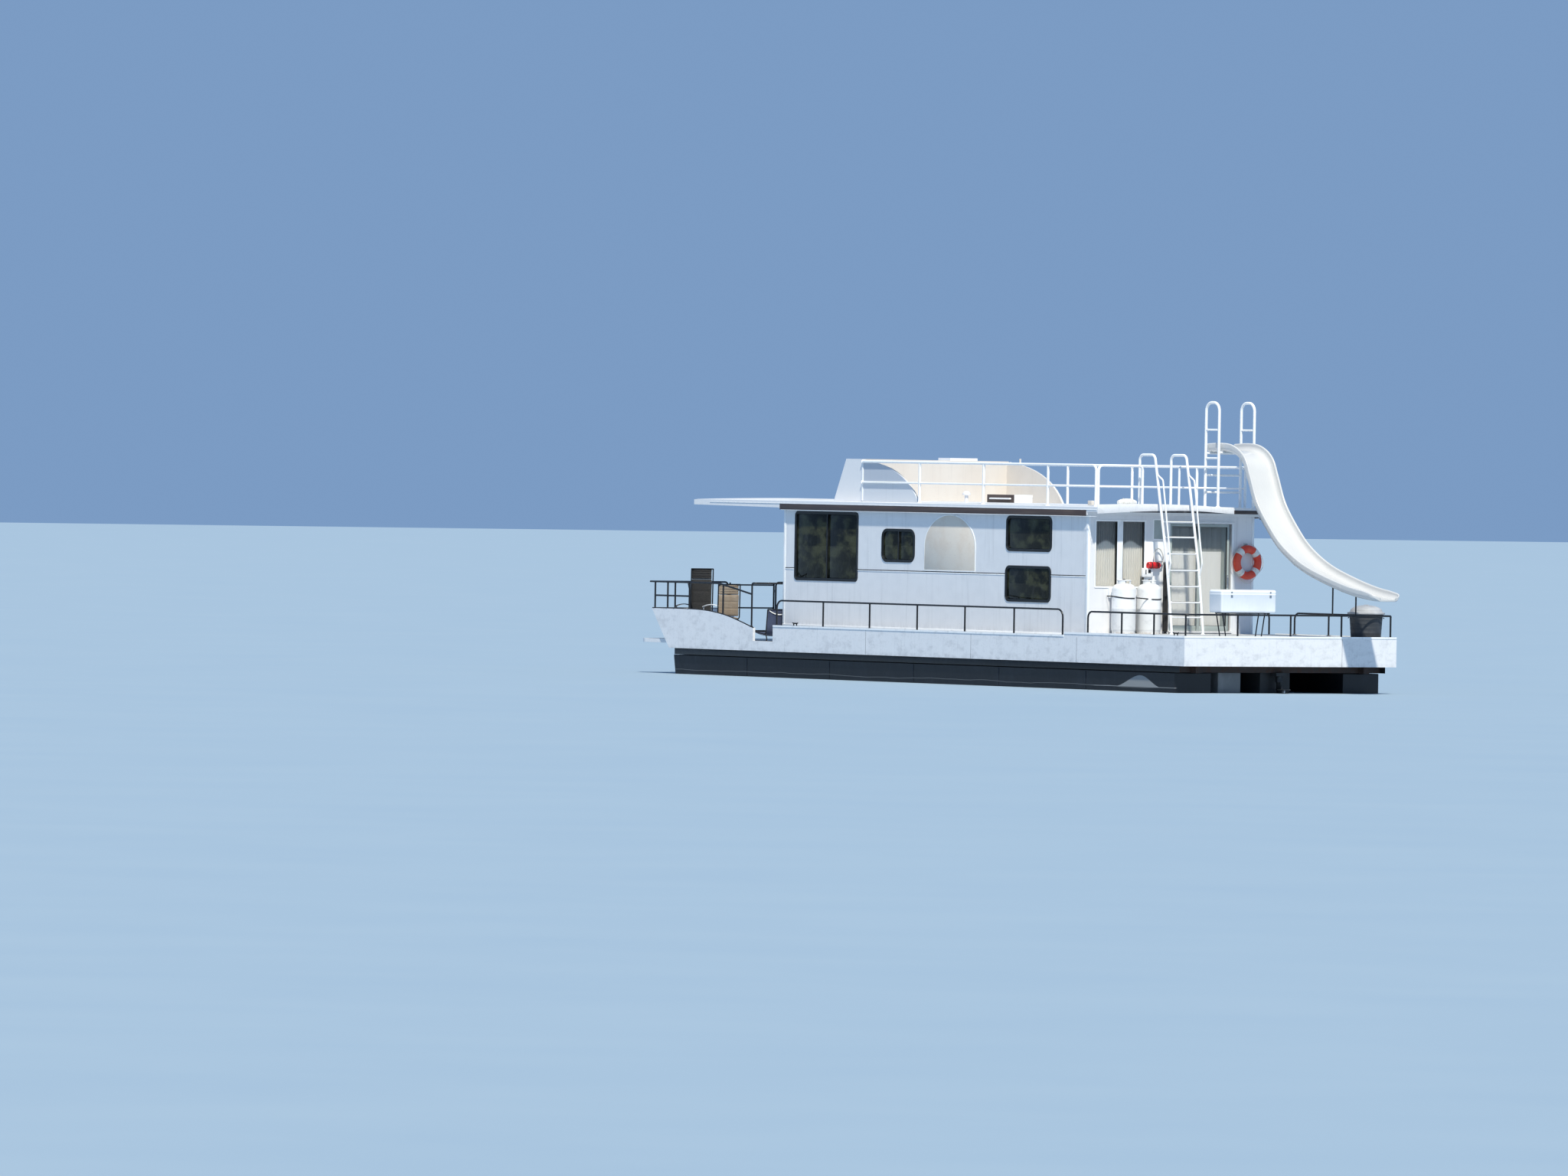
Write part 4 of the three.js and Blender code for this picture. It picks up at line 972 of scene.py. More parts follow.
class HOUSEBOAT_OT_decks(Builder, bpy.types.Operator):
    """Decks with their edge caps, the joint in the stern fascia, cleats and the rubbing strip"""

    bl_idname = "houseboat.decks"
    bl_label = "Decks"

    def execute(self, context):
        dress(["deck_main", "deck_bow"], "fascia_white", 0.006)
        trim = Piece("trim_white")
        joint = Piece("seam_dark")
        joint.block((-0.004, 1.1375, CHINE + 0.004), (0.0015, 1.1425, STERN_DECK - 0.02), 0.0006, 1)
        for side in SIDES.values():
            y = HALF_BEAM * side
            trim.sweep([(x, y, WALK) for x in (WALK_FRONT, CABIN_REAR)], rectangle(0.016, 0.03), up=UP)
            for x in (-3.05, -6.1, -9.2):
                joint.block((x - 0.0025, y - 0.004 * side, CHINE + 0.004), (x + 0.0025, y + 0.0015 * side,
                    WALK - 0.02), 0.0006, 1)
        fore = CABIN_REAR + 0.02
        corners = [(x, y, STERN_DECK) for x, y in ((fore, -HALF_BEAM), (0, -HALF_BEAM), (0, HALF_BEAM),
            (fore, HALF_BEAM))]
        trim.sweep(rounded(corners, 0.012, steps=3), rectangle(0.014, 0.034), up=UP)
        trim.make("deck_edge_caps")
        joint.make("fascia_seams")
        self.cleats().make("cleats")
        return DONE

    def cleats(self):
        cleats = Piece("frame_black")
        stem = [(0, 0), (0.022, 0), (0.018, 0.006), (0.011, 0.012), (0.011, 0.05), (0, 0.05)]
        horn = ((-0.085, 0.066), (-0.06, 0.06), (-0.03, 0.055), (0.03, 0.055), (0.06, 0.06), (0.085, 0.066))
        for x, z, y in ((-11.55, WALK, 2.19), (-0.45, STERN_DECK, 2.2), (-15.5, BOW_DECK, 1.98)):
            for side in SIDES.values():
                at = Vector((x, y * side, z))
                for step in (-0.045, 0.045):
                    cleats.lathe(stem, at + Vector((step, 0, 0)), sides=14)
                cleats.tube([at + Vector((dx, 0, dz)) for dx, dz in horn], 0.013, sides=10,
                    grow=lambda t: 0.55 + 0.45 * sin(pi * t) ** 0.5)
        return cleats


class HOUSEBOAT_OT_bulwarks(Builder, bpy.types.Operator):
    """Bulwarks with their black edging"""

    bl_idname = "houseboat.bulwarks"
    bl_label = "Bulwarks"

    EDGE = [(-15.715, 1.69), (-14.6, 1.69), (-14.0, 1.668), (-13.47, 1.6), (-13.01, 1.495), (-12.66, 1.4),
        (-12.6, 1.385)]

    def execute(self, context):
        dress(both("bulwark"), "fascia_white", 0.006)
        rub = Piece("rubber_black")
        for side in SIDES.values():
            y = (HALF_BEAM - 0.012) * side
            rub.tube(curve_through([(x, y, z - 0.002) for x, z in self.EDGE], 4), sizes().edging, sides=10)
            rub.rung(-15.72, 0.64 * side, y, 1.688, sizes().edging, 10)
        rub.make("bulwark_edging")
        return DONE


class HOUSEBOAT_OT_low_rails(Builder, bpy.types.Operator):
    """Black tube rails round the bow, along the walkways and round the stern deck"""

    bl_idname = "houseboat.low_rails"
    bl_label = "Low rails"

    def execute(self, context):
        for name, side in SIDES.items():
            self.bow(side).make("bow_rail_tubes_" + name, "bow_rail_" + name)
            self.walk(side).make("side_rail_tubes_" + name, "side_rail_" + name)
        self.stern().make("stern_rail_tubes", "stern_rail")
        return DONE

    def edge_height(self, x):
        return height_on(HOUSEBOAT_OT_bulwarks.EDGE, x)

    def bow(self, side):
        r, top, bend_top, foot = sizes().rail, 2.17, 2.19, self.edge_height(-12.68)
        gate, knee, wall, y = (place * side for place in (0.545, 1.45, 1.81, 2.335))
        rail = Piece("rail_black")
        rail.tube([(-15.86, gate, BOW_DECK), (-15.86, gate, top), (-15.86, y, top), (-13.68, y, top),
            (-12.68, y, 1.99)], r, 0.07)
        rail.tube([(-12.68, y, foot), (-12.68, y, bend_top), (-12.6, y, bend_top), (-12.51, wall, bend_top),
            (CABIN_FRONT, wall, bend_top)], r, 0.06)
        rail.tube([(-15.705, knee, 1.69), (-15.705, knee, 1.72), (-15.86, knee, top)], r, 0.03)
        rail.tube([(-15.66, y, 1.92), (-14.6, y, 1.92)], r)
        for x in (-15.66, -15.27, -15.04, -14.6, -13.56):
            rail.post(x, y, self.edge_height(x), top if x < -13.6 else top - 0.02, r, 0.032)
        rail.foot((-15.86, gate, BOW_DECK), r)
        rail.foot((-12.68, y, foot), r, 0.032)
        rail.lathe([(0, 0), (0.034, 0), (0.034, 0.004), (r, 0.01), (0, 0.01)], (CABIN_FRONT, wall, bend_top),
            (-1, 0, 0))
        return rail

    def walk(self, side):
        r, top, y, ends = sizes().rail, 1.89, RAIL_Y * side, (-11.95, -3.52)
        rail = Piece("rail_black")
        rail.tube([(ends[0], y, WALK), (ends[0], y, top), (ends[1], y, top), (ends[1], y, WALK)], r, 0.14)
        for x in (-10.55, -9.16, -7.75, -6.35, -4.92):
            rail.post(x, y, WALK, top, r)
        for x in ends:
            rail.foot((x, y, WALK), r)
        return rail

    def stern(self):
        r, top, end, start, deck = sizes().rail, 1.865, -0.05, -2.8, STERN_DECK
        rail = Piece("rail_black")
        rail.tube([(start, -RAIL_Y, deck), (start, -RAIL_Y, top), (end, -RAIL_Y, top), (end, RAIL_Y, top),
            (start, RAIL_Y, top), (start, RAIL_Y, deck)], r, 0.11)
        posts = [(x, y) for x in (-1.84, -0.93) for y in (-RAIL_Y, RAIL_Y)]
        posts += [(end, y) for y in (-1.155, 0.02, 1.155)]
        corner = RAIL_Y - 0.029
        for x, y in posts + [(end - 0.029, -corner), (end - 0.029, corner)]:
            rail.post(x, y, deck, top, r, 0.04)
        for y in (-RAIL_Y, RAIL_Y):
            rail.foot((start, y, deck), r, 0.04)
        under = height_on(HOUSEBOAT_OT_slide.bed(), end) + 0.002
        for y, rise in ((0.95, 0.0), (1.47, 0.02)):
            rail.tube([(end, y, top), (end, y, under + rise)], 0.014)
            rail.weld((end, y, top + r), UP, 0.014)
        return rail


class HOUSEBOAT_OT_bow_gate(Builder, bpy.types.Operator):
    """Gate in the bow rail, which swings on the port post"""

    bl_idname = "houseboat.bow_gate"
    bl_label = "Bow gate"

    def execute(self, context):
        x, half, r, bar = -15.86, 0.499, sizes().rail, 0.014
        gate = Piece("rail_black")
        for y in (-half, half):
            gate.tube([(x, y, 1.24), (x, y, 2.16)], r)
        for z in (1.28, 1.7, 2.12):
            gate.rung(x, -half, half, z, bar)
            for y in (-half + r, half - r):
                gate.weld((x, y, z), STARBOARD, bar)
        for z in (1.36, 2.04):
            gate.lathe([(0, 0), (0.014, 0), (0.014, 0.01), (0.014, 0.028), (0, 0.028)], (x, -0.5267, z),
                STARBOARD, sides=16)
            gate.block((x - 0.011, -0.527, z - 0.022), (x + 0.011, -0.505, z + 0.022))
        gate.use("fitting_metal")
        gate.block((x - 0.012, half - 0.008, 1.985), (x + 0.012, half + 0.017, 2.03))
        gate.make("bow_gate_tubes", "bow_gate", "bow_gate")
        return DONE


class HOUSEBOAT_OT_cabin_walls(Builder, bpy.types.Operator):
    """Cabin walls with their long joints, corner trims and the blank arched board"""

    bl_idname = "houseboat.cabin_walls"
    bl_label = "Cabin walls"

    SEAM_HEIGHT = 2.48
    SEAM_RUNS = [(-12.36, -12.05), (-10.16, -5.79), (-4.48, -3.47)]

    def execute(self, context):
        dress(["cabin_wall_port", "cabin_wall_starboard", "cabin_wall_front", "cabin_wall_stern"],
            "wall_white", 0.003)
        for name, side in SIDES.items():
            self.side(name, side)
        self.sign().make("arched_board")
        return DONE

    def side(self, name, side):
        """Corner angles, the long joint with its moulding, and the strip along the deck."""
        trim, seam = Piece("trim_white"), Piece("seam_dark")
        w, y, high = sizes().trim, WALL * side, CABIN_TOP - 0.002
        half, low = sizes().seam / 2, self.SEAM_HEIGHT - 0.026
        for x0, x1 in ((CABIN_FRONT - 0.004, CABIN_FRONT + w), (CABIN_REAR - w, CABIN_REAR + 0.004)):
            trim.block((x0, y - 0.01 * side, WALK + 0.001), (x1, y + 0.007 * side, high))
        trim.block((CABIN_REAR - 0.01, y, STERN_DECK + 0.001), (CABIN_REAR + 0.007, y - 0.045 * side, high))
        for x0, x1 in self.SEAM_RUNS:
            trim.block((x0, y, low), (x1, y + 0.006 * side, low + 0.018), 0.002)
            seam.block((x0, y, self.SEAM_HEIGHT - half), (x1, y + 0.0025 * side, self.SEAM_HEIGHT + half),
                0.001, 1)
        trim.block((CABIN_FRONT, y, WALK), (CABIN_REAR, y + 0.012 * side, WALK + 0.035), 0.004)
        trim.make("cabin_trims_" + name)
        seam.make("cabin_seams_" + name)

    def sign(self):
        """A board with straight sides and an arched top, on a raised rim."""
        low, spring, top, x0, x1, out = 2.49, 2.93, 3.51, -8.19, -6.67, -WALL
        middle, half = (x0 + x1) / 2, (x1 - x0) / 2

        def outline(inset, y):
            return ([(x0 + inset, y, low + inset), (x1 - inset, y, low + inset)]
                + [(middle + cos(a) * (half - inset), y, spring + sin(a) * (top - spring - inset))
                for a in arc(pi, 28)])
        board = Piece("sign_cream")
        board.slab(outline(0.02, out), (0, -0.006, 0), 0.002)
        board.use("trim_white")
        board.sweep(outline(0.012, out - 0.004), [(-0.012, -0.005), (0.012, -0.005), (0.009, 0.004),
            (-0.009, 0.004)], up=(0, -1, 0), closed=True)
        return board


class Window:
    """One framed window on a wall: rim, slim channel, mullions and panes."""

    def __init__(self, paint, plane, face, outward, low, high, corner):
        self.piece = Piece(paint)
        self.plane = plane  # "x" for front and stern, "y" for the sides
        self.face = face  # the wall's outer face
        self.outward = outward  # +1 or -1 along the plane's axis
        self.low, self.high, self.corner = low, high, corner

    def ring(self, inset, out, section, corner):
        low, high = [p + inset for p in self.low], [p - inset for p in self.high]
        loop = loop_on(self.plane, self.face + out * self.outward, low, high, corner, 6)
        self.piece.sweep(loop, section, up=on(self.plane, self.outward, 0, 0), closed=True)

    def bar(self, a, b, out0, out1, edge=0.003):
        """A straight bar between two corners on the window's face, from depth out0 to out1."""
        spots = [on(self.plane, self.face + out * self.outward, *p) for p, out in ((a, out0), (b, out1))]
        self.piece.block(*spots, edge)

    def framed(self, mullions, glass, flange, slim, mullion, outer=0.0):
        """A flange that laps the wall by outer, a slim channel inside it, mullions and panes."""
        half = flange / 2
        lip = [(-half, -0.004), (half, -0.004), (half, 0.002), (half - 0.006, 0.008), (-half + 0.004, 0.008),
            (-half, 0.003)]
        self.ring(half - outer, 0.004, lip, self.corner + outer - half)
        inset = flange - outer - 0.002
        self.ring(inset + slim / 2, -0.012, rectangle(slim, 0.03), max(self.corner - inset - slim / 2, 0.012))
        inset += slim * 0.6
        edges = [self.low[0] + inset, *mullions, self.high[0] - inset]
        z0, z1 = self.low[1] + inset, self.high[1] - inset
        for m in mullions:
            self.bar((m - mullion / 2, z0), (m + mullion / 2, z1), -0.024, 0.002)
        self.piece.use(glass)
        for k, (a, b) in enumerate(zip(edges, edges[1:])):
            out = -0.012 - 0.008 * (k % 2)
            self.bar((a, z0), (b, z1), out - 0.004, out, 0.001)
        return self.piece


def dark_window(node, *place, mullions=()):
    """A black-framed tinted window in the place of its node."""
    window = Window("frame_black", *place)
    window.framed(mullions, "glass_tint", sizes().flange, 0.024, 0.03, 0.02).make(node + "_unit", node)


class HOUSEBOAT_OT_side_windows(Builder, bpy.types.Operator):
    """Framed windows in the cabin's two sides"""

    bl_idname = "houseboat.side_windows"
    bl_label = "Side windows"

    # name: low corner, high corner, corner radius, mullions
    WINDOWS = {
        "saloon": ((-12.04, 2.28), (-10.17, 3.49), 0.06, (-11.09,)),
        "galley": ((-9.43, 2.65), (-8.48, 3.21), 0.13, (-8.955,)),
        "bunk_upper": ((-5.77, 2.9), (-4.48, 3.49), 0.09, ()),
        "bunk_lower": ((-5.78, 2.01), (-4.49, 2.61), 0.09, ()),
    }

    def execute(self, context):
        for side_name, side in SIDES.items():
            for name, (low, high, corner, mullions) in self.WINDOWS.items():
                node = "window_" + name + "_" + side_name
                dark_window(node, "y", WALL * side, side, low, high, corner, mullions=mullions)
        return DONE


def glaze(leaf, x, pane, low, high, corner, steps, seal, glass):
    """A pane at x = pane between (y, z) corners of a door's leaf, with its seal at x."""
    leaf.use("rubber_black")
    leaf.sweep(loop_on("x", x, low, high, corner, steps), seal, up=AFT, closed=True)
    leaf.use(glass)
    leaf.block((pane - 0.003, *low), (pane + 0.003, *high), 0.001)


class HOUSEBOAT_OT_front_end(Builder, bpy.types.Operator):
    """Windows and hinged door in the cabin's forward wall"""

    bl_idname = "houseboat.front_end"
    bl_label = "Forward windows and door"

    def execute(self, context):
        for name, side in SIDES.items():
            low, high = sorted((0.62 * side, 1.62 * side))
            dark_window("window_front_" + name, "x", CABIN_FRONT, -1, (low, 2.3), (high, 3.33), 0.06)
        self.door()
        return DONE

    def door(self):
        """A leaf with a tall pane over a pressed panel, its handle and its hinge barrels."""
        x, thick, half, low, high, rail, glass_low = -12.39, 0.034, 0.394, 1.446, 3.384, 0.11, 2.25
        inner, sill, kick = half - rail, glass_low - rail, low + 0.16
        leaf = Piece("fairing_cream")
        leaf.boards(x, x + thick, 0.004, (-half, low, -inner, high), (inner, low, half, high),
            (-inner, high - rail, inner, high), (-inner, sill, inner, glass_low), (-inner, low, inner, kick))
        leaf.boards(x + 0.009, x + thick - 0.009, 0.002, (-inner - 0.004, kick - 0.005, inner + 0.004,
            sill + 0.005))
        leaf.block((x + 0.002, -inner + 0.05, kick + 0.05), (x + thick - 0.002, inner - 0.05, sill - 0.05),
            0.01, 3)
        glaze(leaf, x + thick / 2, x + 0.016, (-inner, glass_low), (inner, high - rail), 0.02, 5,
            rectangle(0.014, 0.024), "glass_tint")
        leaf.use("fitting_metal")
        barrel = [(0, -0.045), (0.011, -0.043), (0.0125, -0.038), (0.0125, -0.001), (0.011, 0)]
        barrel += [(radius, -z) for radius, z in barrel[-2::-1]]
        for z in (1.65, 3.15):
            leaf.lathe(barrel, (-12.406, -0.397, z), sides=16)
            leaf.block((-12.3985, -0.392, z - 0.045), (-12.3895, -0.34, z + 0.045), 0.002)
        leaf.block((x - 0.006, 0.305, 2.16), (x + 0.002, 0.345, 2.36))
        leaf.tube([(x - 0.004, 0.325, 2.31), (x - 0.024, 0.325, 2.31), (x - 0.024, 0.215, 2.31)], 0.0075,
            0.01, 10)
        leaf.make("front_door_leaf", "front_door", "front_door")


class HOUSEBOAT_OT_stern_end(Builder, bpy.types.Operator):
    """Window and sliding door in the cabin's stern wall"""

    bl_idname = "houseboat.stern_end"
    bl_label = "Stern window and sliding door"

    def execute(self, context):
        self.window().make("window_stern_unit", "window_stern")
        self.leaf(-3.464, -3.426, -0.0297, 0.6703, 3.4195).make("stern_door_fixed_leaf", "stern_door_fixed")
        slider = self.leaf(-3.415, -3.381, 0.57, 1.27, 3.415)
        slider.use("fitting_metal")
        slider.block((-3.3815, 1.225, 2.3), (-3.377, 1.25, 2.52), 0.002)
        slider.tube([(-3.379, 1.2375, 2.33), (-3.362, 1.2375, 2.33), (-3.362, 1.2375, 2.49),
            (-3.379, 1.2375, 2.49)], 0.006, 0.01, 8)
        slider.make("stern_door_sliding_leaf", "stern_door_slider", "stern_door")
        self.surround().make("stern_door_surround")
        return DONE

    def window(self):
        window = Window("trim_white", "x", CABIN_REAR, 1, (-1.71, 2.27), (-0.57, 3.475), 0.02)
        unit = window.framed((-1.143,), "glass_clear", 0.024, 0.012, 0.126)
        unit.use("frame_black")
        for a, b in ((-1.671, -1.212), (-1.074, -0.608)):
            unit.sweep(loop_on("x", CABIN_REAR - 0.008, (a, 2.303), (b, 3.443), 0.012, 3),
                rectangle(0.008, 0.012), up=AFT, closed=True)
        return unit

    def leaf(self, x0, x1, y0, y1, z1):
        z0, stile, foot = 1.5303, 0.05, 1.5303 + 0.09
        leaf = Piece("door_green")
        leaf.boards(x0, x1, 0.003, (y0, z0, y0 + stile, z1), (y1 - stile, z0, y1, z1),
            (y0 + stile, z1 - stile, y1 - stile, z1), (y0 + stile, z0, y1 - stile, foot))
        middle, seal = (x0 + x1) / 2, rectangle(0.01, (x1 - x0) * 0.7)
        glaze(leaf, middle, middle, (y0 + stile, foot), (y1 - stile, z1 - stile), 0.008, 2, seal,
            "glass_clear")
        return leaf

    def surround(self):
        """White casing round the opening, with the slider's track below."""
        y0, y1, z0, z1 = -0.03, 1.35, 1.53, 3.42
        casing = Piece("trim_white")
        casing.boards(CABIN_REAR - 0.002, CABIN_REAR + 0.006, 0.002, (y0 - 0.045, z0 - 0.02, y0 - 0.002,
            z1 + 0.045), (y1 + 0.002, z0 - 0.02, y1 + 0.05, z1 + 0.045), (y0 - 0.002, z1 + 0.002, y1 + 0.002,
            z1 + 0.045))
        casing.use("fitting_metal")
        casing.boards(CABIN_REAR - 0.045, CABIN_REAR + 0.045, 0.003, (y0 + 0.002, z0 - 0.012, y1 - 0.002,
            z0 - 0.001))
        return casing


class HOUSEBOAT_OT_curtains(Builder, bpy.types.Operator):
    """Pleated curtains behind the stern window and side windows, and blinds behind the stern door's fixed
    leaf
    """

    bl_idname = "houseboat.curtains"
    bl_label = "Curtains and blinds"

    BACK = 0.078  # from a wall's outer face to its curtains
    # name: ends along the wall, foot and head, seed of the folds
    SIDE_CURTAINS = {
        "saloon_fore": ((-12.0, -11.15), (2.31, 3.46), 2),
        "saloon_aft": ((-11.03, -10.21), (2.31, 3.46), 3),
        "galley": ((-9.39, -8.98), (2.68, 3.18), 4),
        "bunk_upper": ((-5.73, -4.52), (2.93, 3.46), 6),
        "bunk_lower": ((-5.74, -4.53), (2.04, 2.58), 7),
    }

    def execute(self, context):
        depth, drop = sizes().fold, (2.285, 3.455)
        for name, ends, seed in (("outer", (-1.69, -1.19), 5), ("inner", (-1.09, -0.59), 8)):
            self.hang("stern_curtain_" + name, "x", CABIN_REAR - self.BACK, ends, drop, seed, 10, depth,
                "stern")
        self.blinds()
        for side_name, side in SIDES.items():
            for name, (ends, drop, seed) in self.SIDE_CURTAINS.items():
                count = max(4, int((ends[1] - ends[0]) * 13))
                self.hang(name + "_curtain_" + side_name, "y", (WALL - self.BACK) * side, ends, drop, seed,
                    count, depth * 0.9, side_name)
        return DONE

    def fold(self, t, s, count, seed):
        """Depth of a fold, -1 to 1, across the cloth at t and down it at s."""
        drift = 0.35 * sin(2.1 * s + seed) + 0.2 * sin(5.3 * t + 1.7 * seed)
        wave = sin(2 * pi * count * t + drift * 2.2 + seed)
        return wave * (0.45 + 0.55 * s) * (0.8 + 0.2 * sin(9 * t + seed))

    def hang(self, name, plane, at, ends, drop, seed, count, depth, wall):
        """A pleated sheet that hangs beside a wall."""
        width, fall = ends[1] - ends[0], drop[1] - drop[0]
        grid = [[on(plane, at + self.fold(t, s, count, seed) * depth, ends[0] + width * t, drop[1] - fall * s)
            for t in arc(1, count * 10)] for s in arc(1, 16)]
        curtain = Piece("curtain_cloth")
        curtain.skin(grid, ring=False)
        made = curtain.make(name, smooth=80)
        run_length(grid[8])

    def blinds(self):
        """Upright slats behind the fixed door leaf, each a slightly cupped strip, and a grey-green sheet
        beside them that is a painted reflection in the slider's glass.
        """
        width, x, rng, slats = 0.118, -3.505, random.Random(4), Piece("blind_cloth")
        for k in range(10):
            y = 0.065 + k * width - 0.006 * (k % 2)
            turn = radians(8 + rng.uniform(-7, 7))
            slats.skin([[(x + t * width * sin(turn) + 0.006 * (1 - 4 * t * t), y + t * width * cos(turn), z)
                for t in (c / 6 - 0.5 for c in range(7))] for z in (3.37, 2.9, 2.4, 1.95, 1.6)], ring=False)
        # A grey-green sheet beside the slats stands in for the reflection in the slider's glass: a painted
        # reflection.
        slats.use("door_green")
        slats.skin([[(x, 1.18, z), (x - 0.02, 1.25, z), (x, 1.31, z)] for z in (3.37, 1.6)], ring=False)
        made = slats.make("door_blinds", smooth=80)


class HOUSEBOAT_OT_interior(Builder, bpy.types.Operator):
    """Furniture, helm console and steering wheel"""

    bl_idname = "houseboat.interior"
    bl_label = "Inside the cabin"

    def execute(self, context):
        dress(["cabin_fittings", "helm_console"], "cabin_wood", 0.004)
        centre, radius, axis = Vector((-11.81, 1.07, 1.95)), 0.19, Vector(AFT)
        wheel = Piece("rubber_black")
        wheel.sweep(hoop(centre, radius, AFT, 48), circle(0.0135, 12), up=axis, closed=True)
        wheel.use("fitting_metal")
        for k in range(3):
            a = pi / 2 + k * 2 * pi / 3
            out = Vector((0, cos(a), sin(a)))
            wheel.tube([centre - axis * 0.018 + out * 0.03, centre - axis * 0.012 + out * 0.1,
                centre + out * (radius - 0.006)], 0.008, 0.05, 10)
        wheel.use("frame_black")
        wheel.lathe([(0, -0.0897), (0.018, -0.0897), (0.018, -0.035), (0.045, -0.03), (0.05, -0.012),
            (0.03, 0.004), (0, 0.008)], centre, axis, sides=24)
        wheel.make("steering_wheel_rim", "steering_wheel", "steering_wheel")
        return DONE


class HOUSEBOAT_OT_roof(Builder, bpy.types.Operator):
    """Roof with its brown side strips, edge trims, stern board and small things that lie on it"""

    bl_idname = "houseboat.roof"
    bl_label = "Roof"

    STRIP = (3.53, 3.635)

    def execute(self, context):
        dress(["roof"], "roof_white", 0.006)
        self.strips()
        self.stern_board()
        self.bundle()
        return DONE

    def strips(self):
        low, high = self.STRIP
        brown, line = Piece("strip_brown"), Piece("trim_white")
        for side in SIDES.values():
            y = ROOF_HALF * side
            brown.block((CABIN_FRONT - 0.04, y, low), (CABIN_REAR + 0.03, y + 0.004 * side, high), 0.0015)
            for x, z, proud in ((ROOF_FRONT + 0.5, high + 0.006, 0.007), (CABIN_FRONT, low - 0.004, 0.006)):
                line.block((x, y, z - 0.004), (ROOF_REAR - 0.01, y + proud * side, z + 0.004), 0.0015)
        brown.make("roof_strips")
        line.make("roof_edge_beads")

    def stern_board(self):
        """A board along the roof's stern edge, short of the starboard corner, a grey strip of painted shade
        under it, and a lamp under it.
        """
        x, end = ROOF_REAR, 1.12
        board = Piece("fascia_white")
        under = curve_through([(x, -ROOF_HALF, 3.574), (x, -0.94, 3.623), (x, 0.17, 3.644), (x, end, 3.598)],
            6)
        over = curve_through([(x, end, 3.7), (x, 0.2, 3.745), (x, -0.9, 3.757), (x, -ROOF_HALF, 3.737)], 6)
        board.slab([(px - 0.001, py, pz) for px, py, pz in under + over], (0.013, 0, 0))
        board.use("strip_brown")
        board.block((x - 0.001, end + 0.005, 3.6), (x + 0.006, ROOF_HALF, 3.665), 0.002)
        # A grey strip under the board on the roof's stern face: painted shade under the board.
        board.use("seam_dark")
        board.block((x - 0.001, -1.2, 3.606), (x + 0.003, end, 3.66), 0.001)
        board.make("roof_stern_board")
        lamp = Piece("frame_black")
        lamp.block((x - 0.075, 1.755, 3.505), (x - 0.01, 1.885, 3.603), 0.012)
        lamp.use("lamp_lens")
        lamp.block((x - 0.014, 1.77, 3.52), (x - 0.004, 1.87, 3.59), 0.008, 3)
        lamp.make("stern_lamp")

    def bundle(self):
        """A small rolled cover and a junction box on the roof."""
        half, radius, sole = 0.2, 0.056, -0.0555
        centre = Vector((-4.89, 0.14, roof_top(0.14) + radius))
        roll = Piece("band_white")
        rows = []
        for t in arc(1, 24):
            swell = radius * (0.35 + 0.65 * sin(pi * min(max(t, 0.02), 0.98)) ** 0.35)
            rows.append([centre + Vector((sin(3.2 * t) * 0.01 + cos(a) * swell * (1 + 0.06 * sin(3 * a)),
                half * (2 * t - 1), max(sin(a) * swell, sole) - (radius - swell) * 0.6)) for a in turns(20)])
        roll.skin(rows)
        roll.use("rope_white")
        for y in (-0.08, 0.08):
            loop = [centre + Vector((cos(a) * radius, y, max(sin(a) * 0.057, sole))) for a in turns(24)]
            roll.sweep(loop, circle(0.004, 6), up=STARBOARD, closed=True)
        roll.make("roof_bundle", slot="white_panel", smooth=60)
        box = Piece("fairing_cream")
        z = roof_top(-0.86)
        box.block((-4.66, -0.92, z - 0.003), (-4.54, -0.8, z + 0.075), 0.008, 3)
        box.make("roof_junction_box")


class HOUSEBOAT_OT_fairing(Builder, bpy.types.Operator):
    """Fairing at the forward end of the roof rails, with the post on its port corner"""

    bl_idname = "houseboat.fairing"
    bl_label = "Rooftop fairing"

    def execute(self, context):
        dress(["rooftop_fairing"], "fairing_cream", 0.008)
        post = Piece("trim_white")
        post.block((-10.34, -1.662, 3.72), (-10.298, -1.6, 4.455), 0.006)
        post.make("fairing_post")
        return DONE


class HOUSEBOAT_OT_hatch(Builder, bpy.types.Operator):
    """Roof hatch with its lid, dark port face and grab bar"""

    bl_idname = "houseboat.hatch"
    bl_label = "Roof hatch"

    def execute(self, context):
        dress(["roof_hatch"], "trim_white", 0.006)
        low, high = (corner - Vector((STERN, 0, 0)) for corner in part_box("roof_hatch"))
        y, z = low.y, 3.8
        ends = (low.x + 0.09, high.x - 0.09)
        face = Piece("strip_brown")
        face.block((low.x - 0.003, y - 0.006, roof_top(y)), (high.x + 0.003, y + 0.004, high.z + 0.001),
            0.002)
        face.use("rail_white")
        face.tube([(ends[0], y - 0.002, z), (ends[0], y - 0.022, z), (ends[1], y - 0.022, z),
            (ends[1], y - 0.002, z)], 0.014, 0.014, 10)
        face.make("hatch_port_face")
        return DONE


